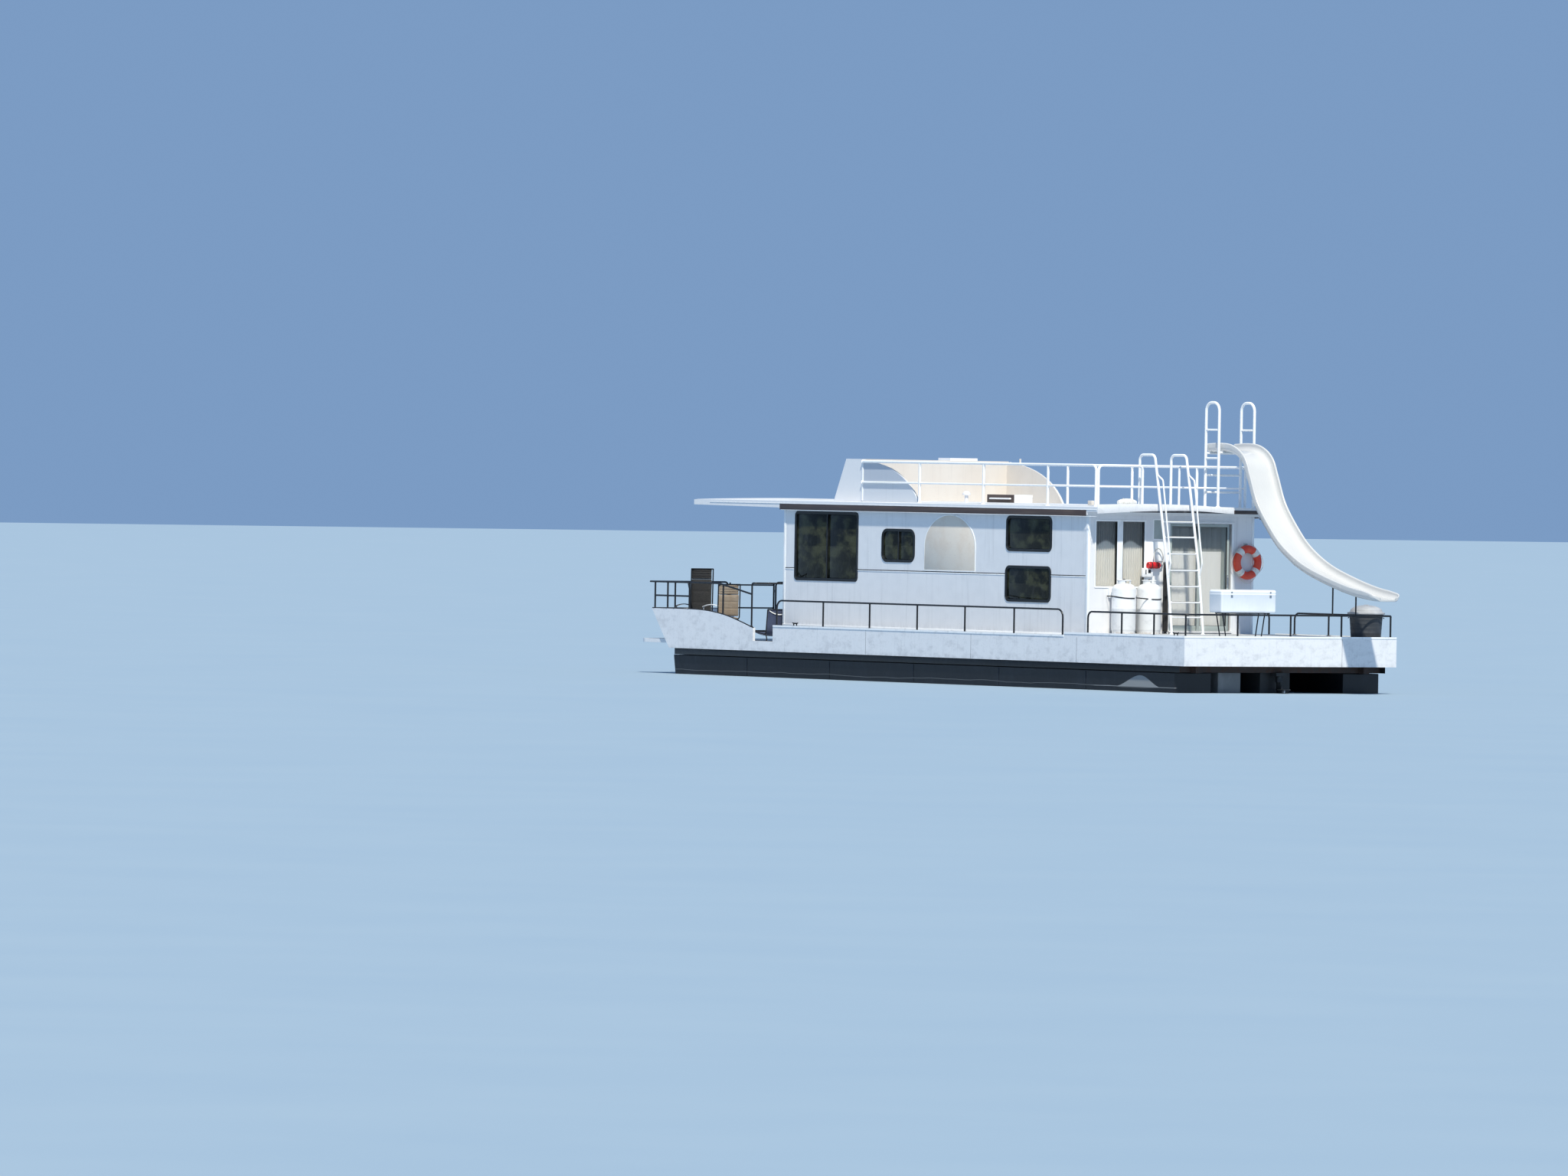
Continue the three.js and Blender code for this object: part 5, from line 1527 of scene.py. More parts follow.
class HOUSEBOAT_OT_upper_rails(Builder, bpy.types.Operator):
    """White tube rails on the roof"""

    bl_idname = "houseboat.upper_rails"
    bl_label = "Rooftop rails"

    TOP, MID, MID_RADIUS = 4.42, 4.05, 0.0175
    START, REAR, INNER_END = -10.29, -3.43, -0.66
    SIDE_END, STERN_START = -3.46, -1.64  # the two port panels' own corner posts

    def execute(self, context):
        for name, side in SIDES.items():
            self.rail(side).make("upper_rail_tubes_" + name, "upper_rail_" + name)
        return DONE

    def rail(self, side):
        r, y, foot = sizes().white_rail, WHITE_RAIL_Y * side, roof_top(WHITE_RAIL_Y)
        top, mid = self.TOP, self.MID
        rail = Piece("rail_white")
        rail.tube([(self.START, y, top), (self.SIDE_END, y, top), (self.SIDE_END, y, foot)], r, 0.09)
        rail.tube([(self.START, y, mid), (self.SIDE_END, y, mid)], self.MID_RADIUS)
        feet = [(x, y) for x in (-8.59, -6.71, -4.84)]
        for x, py in feet:
            rail.tube([(x, py, foot), (x, py, top)], r)
            for height, radius in ((top, r), (mid, self.MID_RADIUS)):
                rail.weld((x, py, height - radius), UP, r)
        feet.append((self.SIDE_END, y))
        if side < 0:
            x, a, b = self.REAR, self.STERN_START, self.INNER_END
            rail.tube([(x, a, roof_top(a)), (x, a, top), (x, b, top), (x, b, roof_top(b))], r, 0.09)
            rail.rung(x, a, b, mid, self.MID_RADIUS)
            feet += [(x, a), (x, b)]
        for x, py in feet:
            rail.foot((x, py, roof_top(py) - 0.002), r, 0.043)
        for height in (top, mid):
            rail.lathe([(0, 0), (0.034, 0), (0.034, 0.005), (r, 0.012), (0, 0.012)],
                (self.START - 0.006, y, height), AFT)
        return rail


class HOUSEBOAT_OT_ladder(Builder, bpy.types.Operator):
    """Sloping ladder from the stern deck to the roof"""

    bl_idname = "houseboat.ladder"
    bl_label = "Stern ladder"

    KNEE = (-2.77, 2.7)

    def spot(self, y, z, out=0.0):
        """A point of the stile at y, at height z and out towards the stern."""
        x, knee = self.KNEE
        return x - (z - knee) * (0.206 if z > knee else 0.137) + out, y, z

    def execute(self, context):
        r, port, starboard, top, tread, at = sizes().white_rail, -0.6, 0.1, 4.62, 0.016, self.spot
        ladder = Piece("rail_white")
        for y in (port, starboard):
            feet = (-3.59, y, roof_top(y)), at(y, 1.54)[:2] + (STERN_DECK,)
            ladder.tube([feet[0], (-3.59, y, top), at(y, top), at(y, self.KNEE[1]), at(y, 1.54), feet[1]], r,
                0.1)
            ladder.tube([at(y, 4.28), at(y, 4.18, 0.15), at(y, 2.72, 0.11), at(y, 2.48)], 0.015, 0.06)
            ladder.foot(Vector(feet[0]) - Vector((0, 0, 0.002)), r, 0.04)
            ladder.foot(feet[1], r, 0.04)
            for z in (4.28, 2.48):
                ladder.weld(at(y, z, r), (1, 0, -0.3), 0.015)
        for z in (1.78, 2.04, 2.32, 2.6, 2.89, 3.18, 3.45):
            x = at(0, z)[0]
            ladder.rung(x, port, starboard, z, tread)
            for y in (port + r, starboard - r):
                ladder.weld((x, y, z), STARBOARD, tread)
            ladder.use("rubber_black")
            ladder.block((x - 0.011, port + 0.05, z + 0.009), (x + 0.011, starboard - 0.05, z + 0.0175),
                0.002)
            ladder.use("rail_white")
        ladder.make("ladder_tubes", "stern_ladder")
        return DONE


class HOUSEBOAT_OT_slide(Builder, bpy.types.Operator):
    """Slide from the roof over the stern, and the frame that carries it"""

    bl_idname = "houseboat.slide"
    bl_label = "Slide"

    MIDDLE, HALF, LIP = 1.17, 0.325, 0.155
    BED = ((-3.53, 4.685), (-3.15, 4.7), (-2.84, 4.665), (-2.58, 4.51), (-2.43, 4.216), (-2.187, 3.709),
        (-1.755, 3.212), (-1.387, 2.905), (-0.86, 2.622), (-0.221, 2.408), (0.527, 2.222), (1.199, 2.131))
    NOSE = 0.14  # radius of the foot's two corners, seen from above

    @classmethod
    def bed(cls):
        """The middle line of the bed, as smooth (x, z) points."""
        return [(p.x, p.z) for p in curve_through([(x, 0, z) for x, z in cls.BED], 8)]

    def execute(self, context):
        line = self.bed()
        self.flume([Vector((x, 0, z)) for x, z in line]).make("slide_trough", "slide_flume", smooth=50)
        self.carriage(line).make("slide_frame_tubes", "slide_frame")
        return DONE

    def section(self, lip):
        """Half-round trough: outer skin up one side, over a rolled lip, then the inner skin."""
        half, wall, corner, roll = self.HALF, 0.03, 0.09, 0.019
        bend, neck = corner - wall * 0.4, lip - 2.4 * roll
        right = [(half - corner + corner * sin(a), corner - corner * cos(a)) for a in arc(pi / 2, 8)]
        right.append((half, neck))
        right += [(half - wall / 2 + roll * cos(a), lip - roll + roll * sin(a)) for a in arc(pi, 8)]
        right.append((half - wall, neck))
        right += [(half - wall - bend + bend * sin(a), wall + bend - bend * cos(a))
            for a in arc(pi / 2, 8)[::-1]]
        return right + [(-u, v) for u, v in right[::-1]]

    def flume(self, line):
        trough = Piece("slide_gelcoat")
        root, tip = line[-3], line[-1]
        line = line[:-2] + [root.lerp(tip, t) for t in (0.3, 0.5, 0.68, 0.82, 0.92, 0.98, 1.0)]
        ahead = [(b - a).normalized() for a, b in zip(line[:1] + line, line[1:] + line[-1:])]
        rows = []
        for p, along in zip(line, ahead):
            lip = min(self.LIP, 2.432 - 0.209 * (p.x - 0.35) - p.z) if p.x > 0.35 else self.LIP
            share = min(max(0.0, (p.x - tip.x + self.NOSE) / self.NOSE), 1.0)
            turn = sqrt(1 - share ** 2)
            narrow = 1 - self.NOSE * (1 - turn) / self.HALF
            lip = 0.06 + (lip - 0.06) * turn
            over = Vector((-along.z, 0, along.x))
            rows.append([p + Vector((0, self.MIDDLE + u * narrow, 0)) + over * min(v, lip) for u,
                v in self.section(lip)])
        trough.skin(rows)
        for x in (-2.62, -1.1, 0.28):
            p, along = min(zip(line, ahead), key=lambda spot: abs(spot[0].x - x))
            over = Vector((-along.z, 0, along.x))
            ring = [p + Vector((0, self.MIDDLE + u * 1.004, 0)) + over * (v - 0.001) for u,
                v in self.section(self.LIP)[:10]]
            other = [Vector((p.x, 2 * self.MIDDLE - p.y, p.z)) for p in reversed(ring)]
            trough.sweep(other + ring, rectangle(0.004, 0.05), up=along)
        return trough

    def carriage(self, line):
        r, fore, aft, port, starboard = 0.026, -3.5, -3.13, 0.8, 1.59
        tubes, rails = Piece("rail_white"), HOUSEBOAT_OT_upper_rails
        for y in (port, starboard):
            foot = roof_top(y)
            tubes.tube([(fore, y, foot), (fore, y, 5.56), (aft, y, 5.56), (aft, y, foot)], r, 0.15)
            for x in (fore, aft):
                tubes.foot((x, y, foot - 0.002), r)
            for z in (5.08, 4.58):
                tubes.tube([(fore, y, z), (aft, y, z)], 0.018)
                for x in (fore + r, aft - r):
                    tubes.weld((x, y, z), AFT, 0.018)
        for z in (3.98, 4.28, height_on(line, fore) - 0.02):
            tubes.rung(fore, port, starboard, z, 0.02)
        tubes.rung(aft, port, starboard, height_on(line, aft) - 0.02, 0.02)
        x, y = rails.REAR, 0.16
        tubes.tube([(x, y, roof_top(y)), (x, y, rails.TOP), (x, port, rails.TOP)], 0.02, 0.06)
        tubes.rung(x, y, port, rails.MID, 0.016)
        for z in (rails.TOP, rails.MID):
            tubes.tube([(fore, port, z), (aft, port, z)], 0.017)
        tubes.foot((x, y, roof_top(y) - 0.002), 0.02, 0.043)
        return tubes


class HOUSEBOAT_OT_stern_fittings(Builder, bpy.types.Operator):
    """Small things on the cabin's stern wall: meter, board, sill box and a little pane"""

    bl_idname = "houseboat.stern_fittings"
    bl_label = "Stern wall fittings"

    def execute(self, context):
        x = CABIN_REAR
        board = Piece("trim_white")
        board.block((x - 0.001, -0.6, 1.62), (x + 0.007, -0.17, 3.09))
        for y in (-0.57, -0.2):
            for z in (1.7, 2.3, 3.04):
                board.bolt((x + 0.007, y, z), AFT, 0.006, 0.002)
        board.block((x - 0.001, -1.4, 2.1), (x + 0.05, -1.02, 2.295), 0.008, 3)
        board.block((x + 0.048, -1.37, 2.13), (x + 0.053, -1.05, 2.265), 0.002)
        board.make("stern_wall_boards")
        meter = Piece("trim_white")
        meter.block((x + 0.006, -0.67, 2.47), (x + 0.055, -0.44, 2.63), 0.012, 3)
        meter.use("frame_black")
        meter.boards(x + 0.053, x + 0.057, 0.001, (-0.61, 2.52, -0.59, 2.6), (-0.55, 2.54, -0.49, 2.6))
        meter.make("wall_meter")
        pane = Piece("trim_white")
        loop = loop_on("x", x + 0.004, (-0.41, 3.135), (-0.16, 3.485), 0.012, 3)
        pane.sweep(loop, rectangle(0.022, 0.012), up=AFT, closed=True)
        pane.use("door_green")
        pane.block((x - 0.001, -0.405, 3.14), (x + 0.004, -0.165, 3.48), 0.001)
        pane.make("small_pane", slot="white_panel")
        return DONE


class HOUSEBOAT_OT_gas_cylinders(Builder, bpy.types.Operator):
    """Two gas cylinders strapped to the stern wall"""

    bl_idname = "houseboat.gas_cylinders"
    bl_label = "Gas cylinders"

    X, RADIUS, PLACES = -3.165, 0.215, {"port": -1.24, "starboard": -0.68}

    def execute(self, context):
        for name, y in self.PLACES.items():
            self.cylinder(y).make("gas_bottle_" + name, "gas_cylinder_" + name)
        self.strap()
        return DONE

    def cylinder(self, y):
        r, collar, rim, at = self.RADIUS, 0.122, 0.932, Vector((self.X, y, STERN_DECK + STAND_OFF))
        shell = [(0, 0.03), (r - 0.03, 0.03), (r - 0.02, 0.0), (r - 0.012, 0.0), (r - 0.012, 0.045),
            (r - 0.004, 0.06), (r, 0.075), (r, 0.42), (r + 0.002, 0.426), (r + 0.002, 0.436), (r, 0.442),
            (r, 0.77)]
        shell += [(r * cos(a) * 0.72 + r * 0.28, 0.77 + 0.108 * sin(a)) for a in arc(pi / 2, 9)[1:]]
        bottle = Piece("cylinder_enamel")
        bottle.lathe(shell + [(0.04, 0.884), (0.0, 0.886)], at, sides=40)
        turned, levels = Matrix.Rotation(0.25, 3, "Z"), (0.86, 0.88, rim - 0.01)
        for start in turns(3):
            for reach in (collar, collar * 0.965):
                edge = [(reach * cos(start + a), reach * sin(start + a)) for a in arc(1.35, 8)]
                bottle.skin([[at + turned @ Vector((u, v, z)) for u, v in edge] for z in levels], ring=False)
        bottle.sweep(hoop(at + Vector((0, 0, rim)), collar, UP, 36), circle(0.009, 8), up=UP, closed=True)
        bottle.use("fitting_metal")
        top = at + Vector((0, 0, 0.872))
        bottle.lathe([(0, 0), (0.024, 0), (0.024, 0.012), (0.016, 0.016), (0.016, 0.05), (0.009, 0.055),
            (0.009, 0.065), (0, 0.065)], top, sides=18)
        bottle.lathe([(0, 0), (0.011, 0), (0.011, 0.03), (0.014, 0.032), (0.014, 0.045), (0, 0.045)],
            top + Vector((0, 0, 0.03)), (0, 1, 0.1), 14)
        bottle.use("rubber_black")
        bottle.lathe([(0, 0), (0.02, 0.002), (0.023, 0.01), (0.02, 0.02), (0, 0.024)],
            top + Vector((0, 0, 0.064)), sides=14)
        return bottle

    def strap(self):
        """A dark webbing strap that goes round both bottles and droops between them."""
        r, height, (port, starboard) = self.RADIUS + 0.004, 2.13, self.PLACES.values()
        path = [(CABIN_REAR + 0.004, port - 0.17, height), (CABIN_REAR + 0.05, port - 0.21, height)]
        for y, bearings in ((port, range(195, 44, -25)), (starboard, range(135, -16, -25))):
            for a in map(radians, bearings):
                droop = 0.03 * max(sin(a), 0.0) + 0.03 * (y - port)
                path.append((self.X + r * sin(a), y + r * cos(a), height - droop))
        path += [(CABIN_REAR + 0.05, starboard + 0.21, height), (CABIN_REAR + 0.004, starboard + 0.17,
            height)]
        strap = Piece("rubber_black")
        strap.sweep(curve_through(path, 3), rectangle(0.003, 0.02), up=UP)
        strap.make("cylinder_strap")


class HOUSEBOAT_OT_stowage(Builder, bpy.types.Operator):
    """Stowage box over the stern rail, with its hinged lid, latches and stand"""

    bl_idname = "houseboat.stowage"
    bl_label = "Stowage box"

    FORE, PORT, INNER, LOW, HIGH, TOP = -0.36, -1.56, -0.34, 1.905, 2.24, 2.305  # its stern face is at x = 0
    LATCHES = (-1.335, -0.478)

    def shell(self, *levels):
        """A body from loops, each with its inset and height."""
        body = Piece("gelcoat")
        rows = []
        for inset, z in levels:
            x0, y0, y1 = self.FORE + inset, self.PORT + inset, self.INNER - inset
            corners = [(x0, y0, z), (-inset, y0, z), (-inset, y1, z), (x0, y1, z)]
            rows.append(rounded(corners, max(0.035 - inset, 0.008), closed=True, steps=5))
        body.skin(rows)
        return body

    def execute(self, context):
        self.box().make("stowage_shell", "stowage_box")
        self.lid().make("stowage_cover", "stowage_lid", "stowage_lid")
        self.stand().make("stowage_legs", "stowage_stand")
        return DONE

    def box(self):
        low, high = self.LOW, self.HIGH
        box = self.shell((0.018, low), (0.012, low + 0.002), (0.007, low + 0.01), (0.004, low + 0.04),
            (0.001, high - 0.03), (0, high - 0.028), (0, high - 0.006), (0.003, high - 0.001), (0.008, high),
            (0.02, high), (0.02, low + 0.02))
        box.use("fitting_metal")
        for y in self.LATCHES:
            box.block((-0.002, y - 0.022, high - 0.075), (0.006, y + 0.022, high - 0.03))
            box.rung(0.009, y - 0.016, y + 0.016, high - 0.04, 0.004, 8)
        for y in (-1.4, -0.5):
            box.lathe([(0, -0.03), (0.006, -0.03), (0.006, 0.03), (0, 0.03)],
                (self.FORE - 0.005, y, high - 0.0135), STARBOARD, 10)
        return box

    def lid(self):
        z, top = self.HIGH + STAND_OFF, self.TOP
        lid = self.shell((0.024, z), (0.002, z), (0, z + 0.004), (0, z + 0.03), (0.003, z + 0.04),
            (0.012, z + 0.052), (0.03, z + 0.06), (0.08, top - 0.001), (0.14, top))
        lid.use("seam_dark")
        for y in (-1.18, -0.72):
            lid.block((self.FORE + 0.06, y - 0.002, top - 0.004), (-0.06, y + 0.002, top - 0.0005), 0.0008, 1)
        lid.use("fitting_metal")
        for y in self.LATCHES:
            lid.block((-0.002, y - 0.016, z + 0.006), (0.006, y + 0.016, z + 0.03), 0.002)
        return lid

    def stand(self):
        x, y0, y1, low = self.FORE, self.PORT + 0.14, self.INNER - 0.14, self.LOW - 0.0223
        high = self.LOW - STAND_OFF
        legs = Piece("rail_black")
        legs.block((x + 0.02, y0, low), (x + 0.042, y1, high))
        for y, splay in ((y0, 0.06), (y1, -0.09)):
            legs.block((x + 0.016, y - 0.012, low + 0.002), (-0.02, y + 0.012, high))
            for top, foot in ((x + 0.04, x + 0.07), (-0.15, -0.125)):
                legs.tube([(top, y, low + 0.008), (foot, y + splay, STERN_DECK + 0.01)], 0.011)
                legs.lathe([(0, 0), (0.026, 0), (0.026, 0.006), (0.014, 0.02), (0, 0.02)],
                    (foot, y + splay, STERN_DECK + STAND_OFF), sides=18)
        legs.use("rubber_black")
        legs.block((-0.012, y0 + 0.08, self.LOW - 0.045), (0.012, y1 - 0.11, self.LOW - 0.022), 0.005)
        return legs


class HOUSEBOAT_OT_tub(Builder, bpy.types.Operator):
    """Waste tub with ribs, handles and a domed lid"""

    bl_idname = "houseboat.tub"
    bl_label = "Waste tub"

    def execute(self, context):
        rim, base, height, at = 0.305, 0.265, 0.41, Vector((-0.385, 1.975, STERN_DECK + STAND_OFF))
        tub = Piece("tub_plastic")
        profile = [(0, 0.012), (base - 0.03, 0.012), (base - 0.02, 0.0), (base - 0.006, 0.0), (base, 0.008)]
        for z in (0.09, 0.17, 0.25, 0.32):
            r = base + (rim - 0.014 - base) * z / (height - 0.04)
            profile += [(r - 0.001, z - 0.01), (r + 0.001, z - 0.004), (r + 0.001, z + 0.004),
                (r - 0.001, z + 0.01)]
        profile += [(rim - 0.016, height - 0.045), (rim - 0.002, height - 0.04), (rim, height - 0.034),
            (rim, height - 0.004), (rim - 0.004, height), (0, height)]
        tub.lathe(profile, at, sides=48)
        grip = ((-0.06, 0, 0), (-0.06, 0.012, 0.02), (0.06, 0.012, 0.02), (0.06, 0, 0))
        for a in (0.9, pi + 0.9):
            turned = Matrix.Rotation(a, 3, "Z")
            tub.tube([at + turned @ Vector((rim - 0.012 + out, across, height - 0.055 - drop)) for across,
                drop, out in grip], 0.008, 0.012, 8)
        tub.make("tub_body", "waste_tub")
        lid, r = Piece("lid_plastic"), 0.33
        dome = [(0, 0), (r - 0.006, 0), (r, 0.004), (r, 0.026), (r - 0.004, 0.031), (r - 0.034, 0.036),
            (r - 0.044, 0.052)]
        dome += [((r - 0.05) * cos(a), 0.057 + 0.105 * sin(a)) for a in arc(pi / 2, 10)[:-1]]
        lid.lathe(dome + [(0, 0.162)], at + Vector((0, 0, height + 0.0006)), sides=48)
        handle = ((-0.07, 0.149), (-0.05, 0.161), (0.05, 0.161), (0.07, 0.149))
        lid.tube([at + Vector((x, 0, height + z)) for x, z in handle], 0.009, 0.02, 10)
        lid.make("tub_cover", "tub_lid")
        return DONE


class HOUSEBOAT_OT_life_ring(Builder, bpy.types.Operator):
    """Life ring with white bands and a grab line"""

    bl_idname = "houseboat.life_ring"
    bl_label = "Life ring"

    def execute(self, context):
        centre, radius, thick = Vector((-3.3497, 1.66, 2.75)), 0.235, 0.07

        def spot(a, reach=radius, drop=0.0):
            return centre + Vector((0, cos(a) * reach, sin(a) * reach - drop))

        def section(proud):
            return [(u, v * 0.98) for u, v in circle(thick + proud, 24)]

        ring = Piece("ring_red")
        ring.sweep(map(spot, turns(72)), section(-0.001), up=AFT, closed=True)
        ring.use("band_white")
        sweep = radians(24)
        for start in turns(4):
            ring.sweep([spot(start + pi / 4 - sweep / 2 + a) for a in arc(sweep, 8)], section(0.0025), up=AFT)
        ring.use("rope_white")
        free = [(a, sin(2 * (a - pi / 4)) ** 2) for a in turns(96)]
        ring.sweep([spot(a, radius + thick + 0.004 + 0.045 * slack, 0.02 * slack) for a, slack in free],
            circle(0.005, 8), up=AFT, closed=True)
        ring.make("life_ring_foam", "life_ring", slot="ring_red")
        hook = Piece("fitting_metal")
        hook.block((CABIN_REAR - 0.001, 1.62, 3.0), (CABIN_REAR + 0.004, 1.7, 3.09))
        hook.tube([(CABIN_REAR + 0.004, 1.66, 3.065), (CABIN_REAR + 0.075, 1.66, 3.065)], 0.005, 0, 8)
        hook.make("life_ring_hook")
        return DONE


class HOUSEBOAT_OT_extinguisher(Builder, bpy.types.Operator):
    """Extinguisher lying in its bracket, with valve and looped hose"""

    bl_idname = "houseboat.extinguisher"
    bl_label = "Extinguisher"

    def execute(self, context):
        r, x, z, y, end = 0.058, -3.358, 2.68, -0.29, 0.275
        tank = Piece("red_enamel")
        profile = [(0, 0.012), (0.03, 0.006), (r - 0.012, 0.0), (r - 0.004, 0.004), (r, 0.012),
            (r, end - 0.045)]
        profile += [(r * cos(a), end - 0.045 + 0.04 * sin(a)) for a in arc(pi / 2, 6)[1:-1]]
        profile += [(0.018, end - 0.006), (0.018, end + 0.006), (0, end + 0.006)]
        tank.lathe(profile, (x, y - end, z), STARBOARD)
        tank.use("fitting_metal")
        tank.lathe([(0, 0), (0.02, 0), (0.02, 0.014), (0.013, 0.018), (0.013, 0.045), (0, 0.045)],
            (x, y + 0.006, z), STARBOARD, 18)
        tank.use("frame_black")
        tank.block((x - 0.009, y + 0.02, z + 0.012), (x + 0.009, y + 0.055, z + 0.022))
        tank.block((x - 0.008, y - 0.05, z + 0.062), (x + 0.008, y + 0.052, z + 0.069))
        for spot in (-0.5, -0.37):
            tank.sweep(hoop((x, spot, z), r + 0.002, STARBOARD, 40), rectangle(0.003, 0.018), up=STARBOARD,
                closed=True)
        tank.block((CABIN_REAR + STAND_OFF, -0.52, z - 0.03), (CABIN_REAR + 0.008, -0.35, z + 0.03))
        tank.make("extinguisher_tank", "extinguisher", slot="red_enamel")
        bends = ((0.04, 0.01), (0.06, 0.09), (0.05, 0.2), (-0.02, 0.29), (-0.1, 0.27), (-0.14, 0.17))
        line = [(x, y + along, z + up) for along, up in bends]
        hose = Piece("rope_white")
        hose.tube(curve_through(line + [(x + 0.004, y - 0.13, z + 0.066)], 5), 0.011, sides=10)
        hose.make("extinguisher_hose")
        return DONE


class HOUSEBOAT_OT_furled_pole(Builder, bpy.types.Operator):
    """Furled sunshade that stands against the stern wall"""

    bl_idname = "houseboat.furled_pole"
    bl_label = "Furled sunshade"

    def execute(self, context):
        at = Vector((-3.365, -0.15, STERN_DECK + STAND_OFF))
        cloth = Piece("black_cloth")
        stations = [(0.03, 0.044), (0.07, 0.05), (0.32, 0.053), (0.5, 0.052), (0.62, 0.048), (0.66, 0.045),
            (0.7, 0.048), (0.85, 0.052), (1.0, 0.053), (1.14, 0.051), (1.22, 0.046), (1.26, 0.03)]
        rows = []
        for p in curve_through([(r, 0, z) for z, r in stations], 4):
            folds = [(a, 0.88 + 0.07 * sin(6 * a + 3.2 * p.z) + 0.03 * sin(13 * a - 5 * p.z))
                for a in turns(48)]
            rows.append([at + Vector((cos(a) * p.x * size, sin(a) * p.x * size, p.z)) for a, size in folds])
        cloth.skin(rows)
        cloth.make("furled_cloth", "furled_pole", slot="black_plastic", smooth=60)
        pole = Piece("frame_black")
        pole.lathe([(0, 0), (0.03, 0), (0.032, 0.01), (0.016, 0.022), (0.013, 0.05), (0.013, 1.262),
            (0.009, 1.285), (0, 1.29)], at, sides=16)
        pole.use("rubber_black")
        pole.sweep(hoop(at + Vector((0, 0, 0.66)), 0.044, UP, 32), rectangle(0.003, 0.028), up=UP,
            closed=True)
        pole.make("furled_pole_stick")
        return DONE


def pad(piece, centre, across, along, thick, channels):
    """A stuffed pad: half sizes across and along it and its half thickness, sewn across at the channels."""
    centre, across, along, thick = Vector(centre), Vector(across), Vector(along), Vector(thick)
    pinch, rows = 0.035, []
    for v in (a - 1 for a in arc(2, 36)):
        end = max(1 - abs(v) ** 7, 0.0) ** 0.45
        sewn = 1 - sum(0.5 * exp(-((v - c) / 0.035) ** 2) for c in channels)
        wide = (1 - pinch * (1 - v * v)) * (0.93 + 0.07 * end)
        ring = []
        for a in turns(32):
            u = copysign(abs(cos(a)) ** 0.3, cos(a))
            w = copysign(abs(sin(a)) ** 0.8, sin(a))
            ring.append(centre + across * (u * wide) + along * (v * (1 - pinch * (1 - u * u))) + thick
                * (w * (0.08 + 0.92 * end * sewn) * (0.72 + 0.28 * (1 - u * u))))
        rows.append(ring)
    piece.skin(rows)


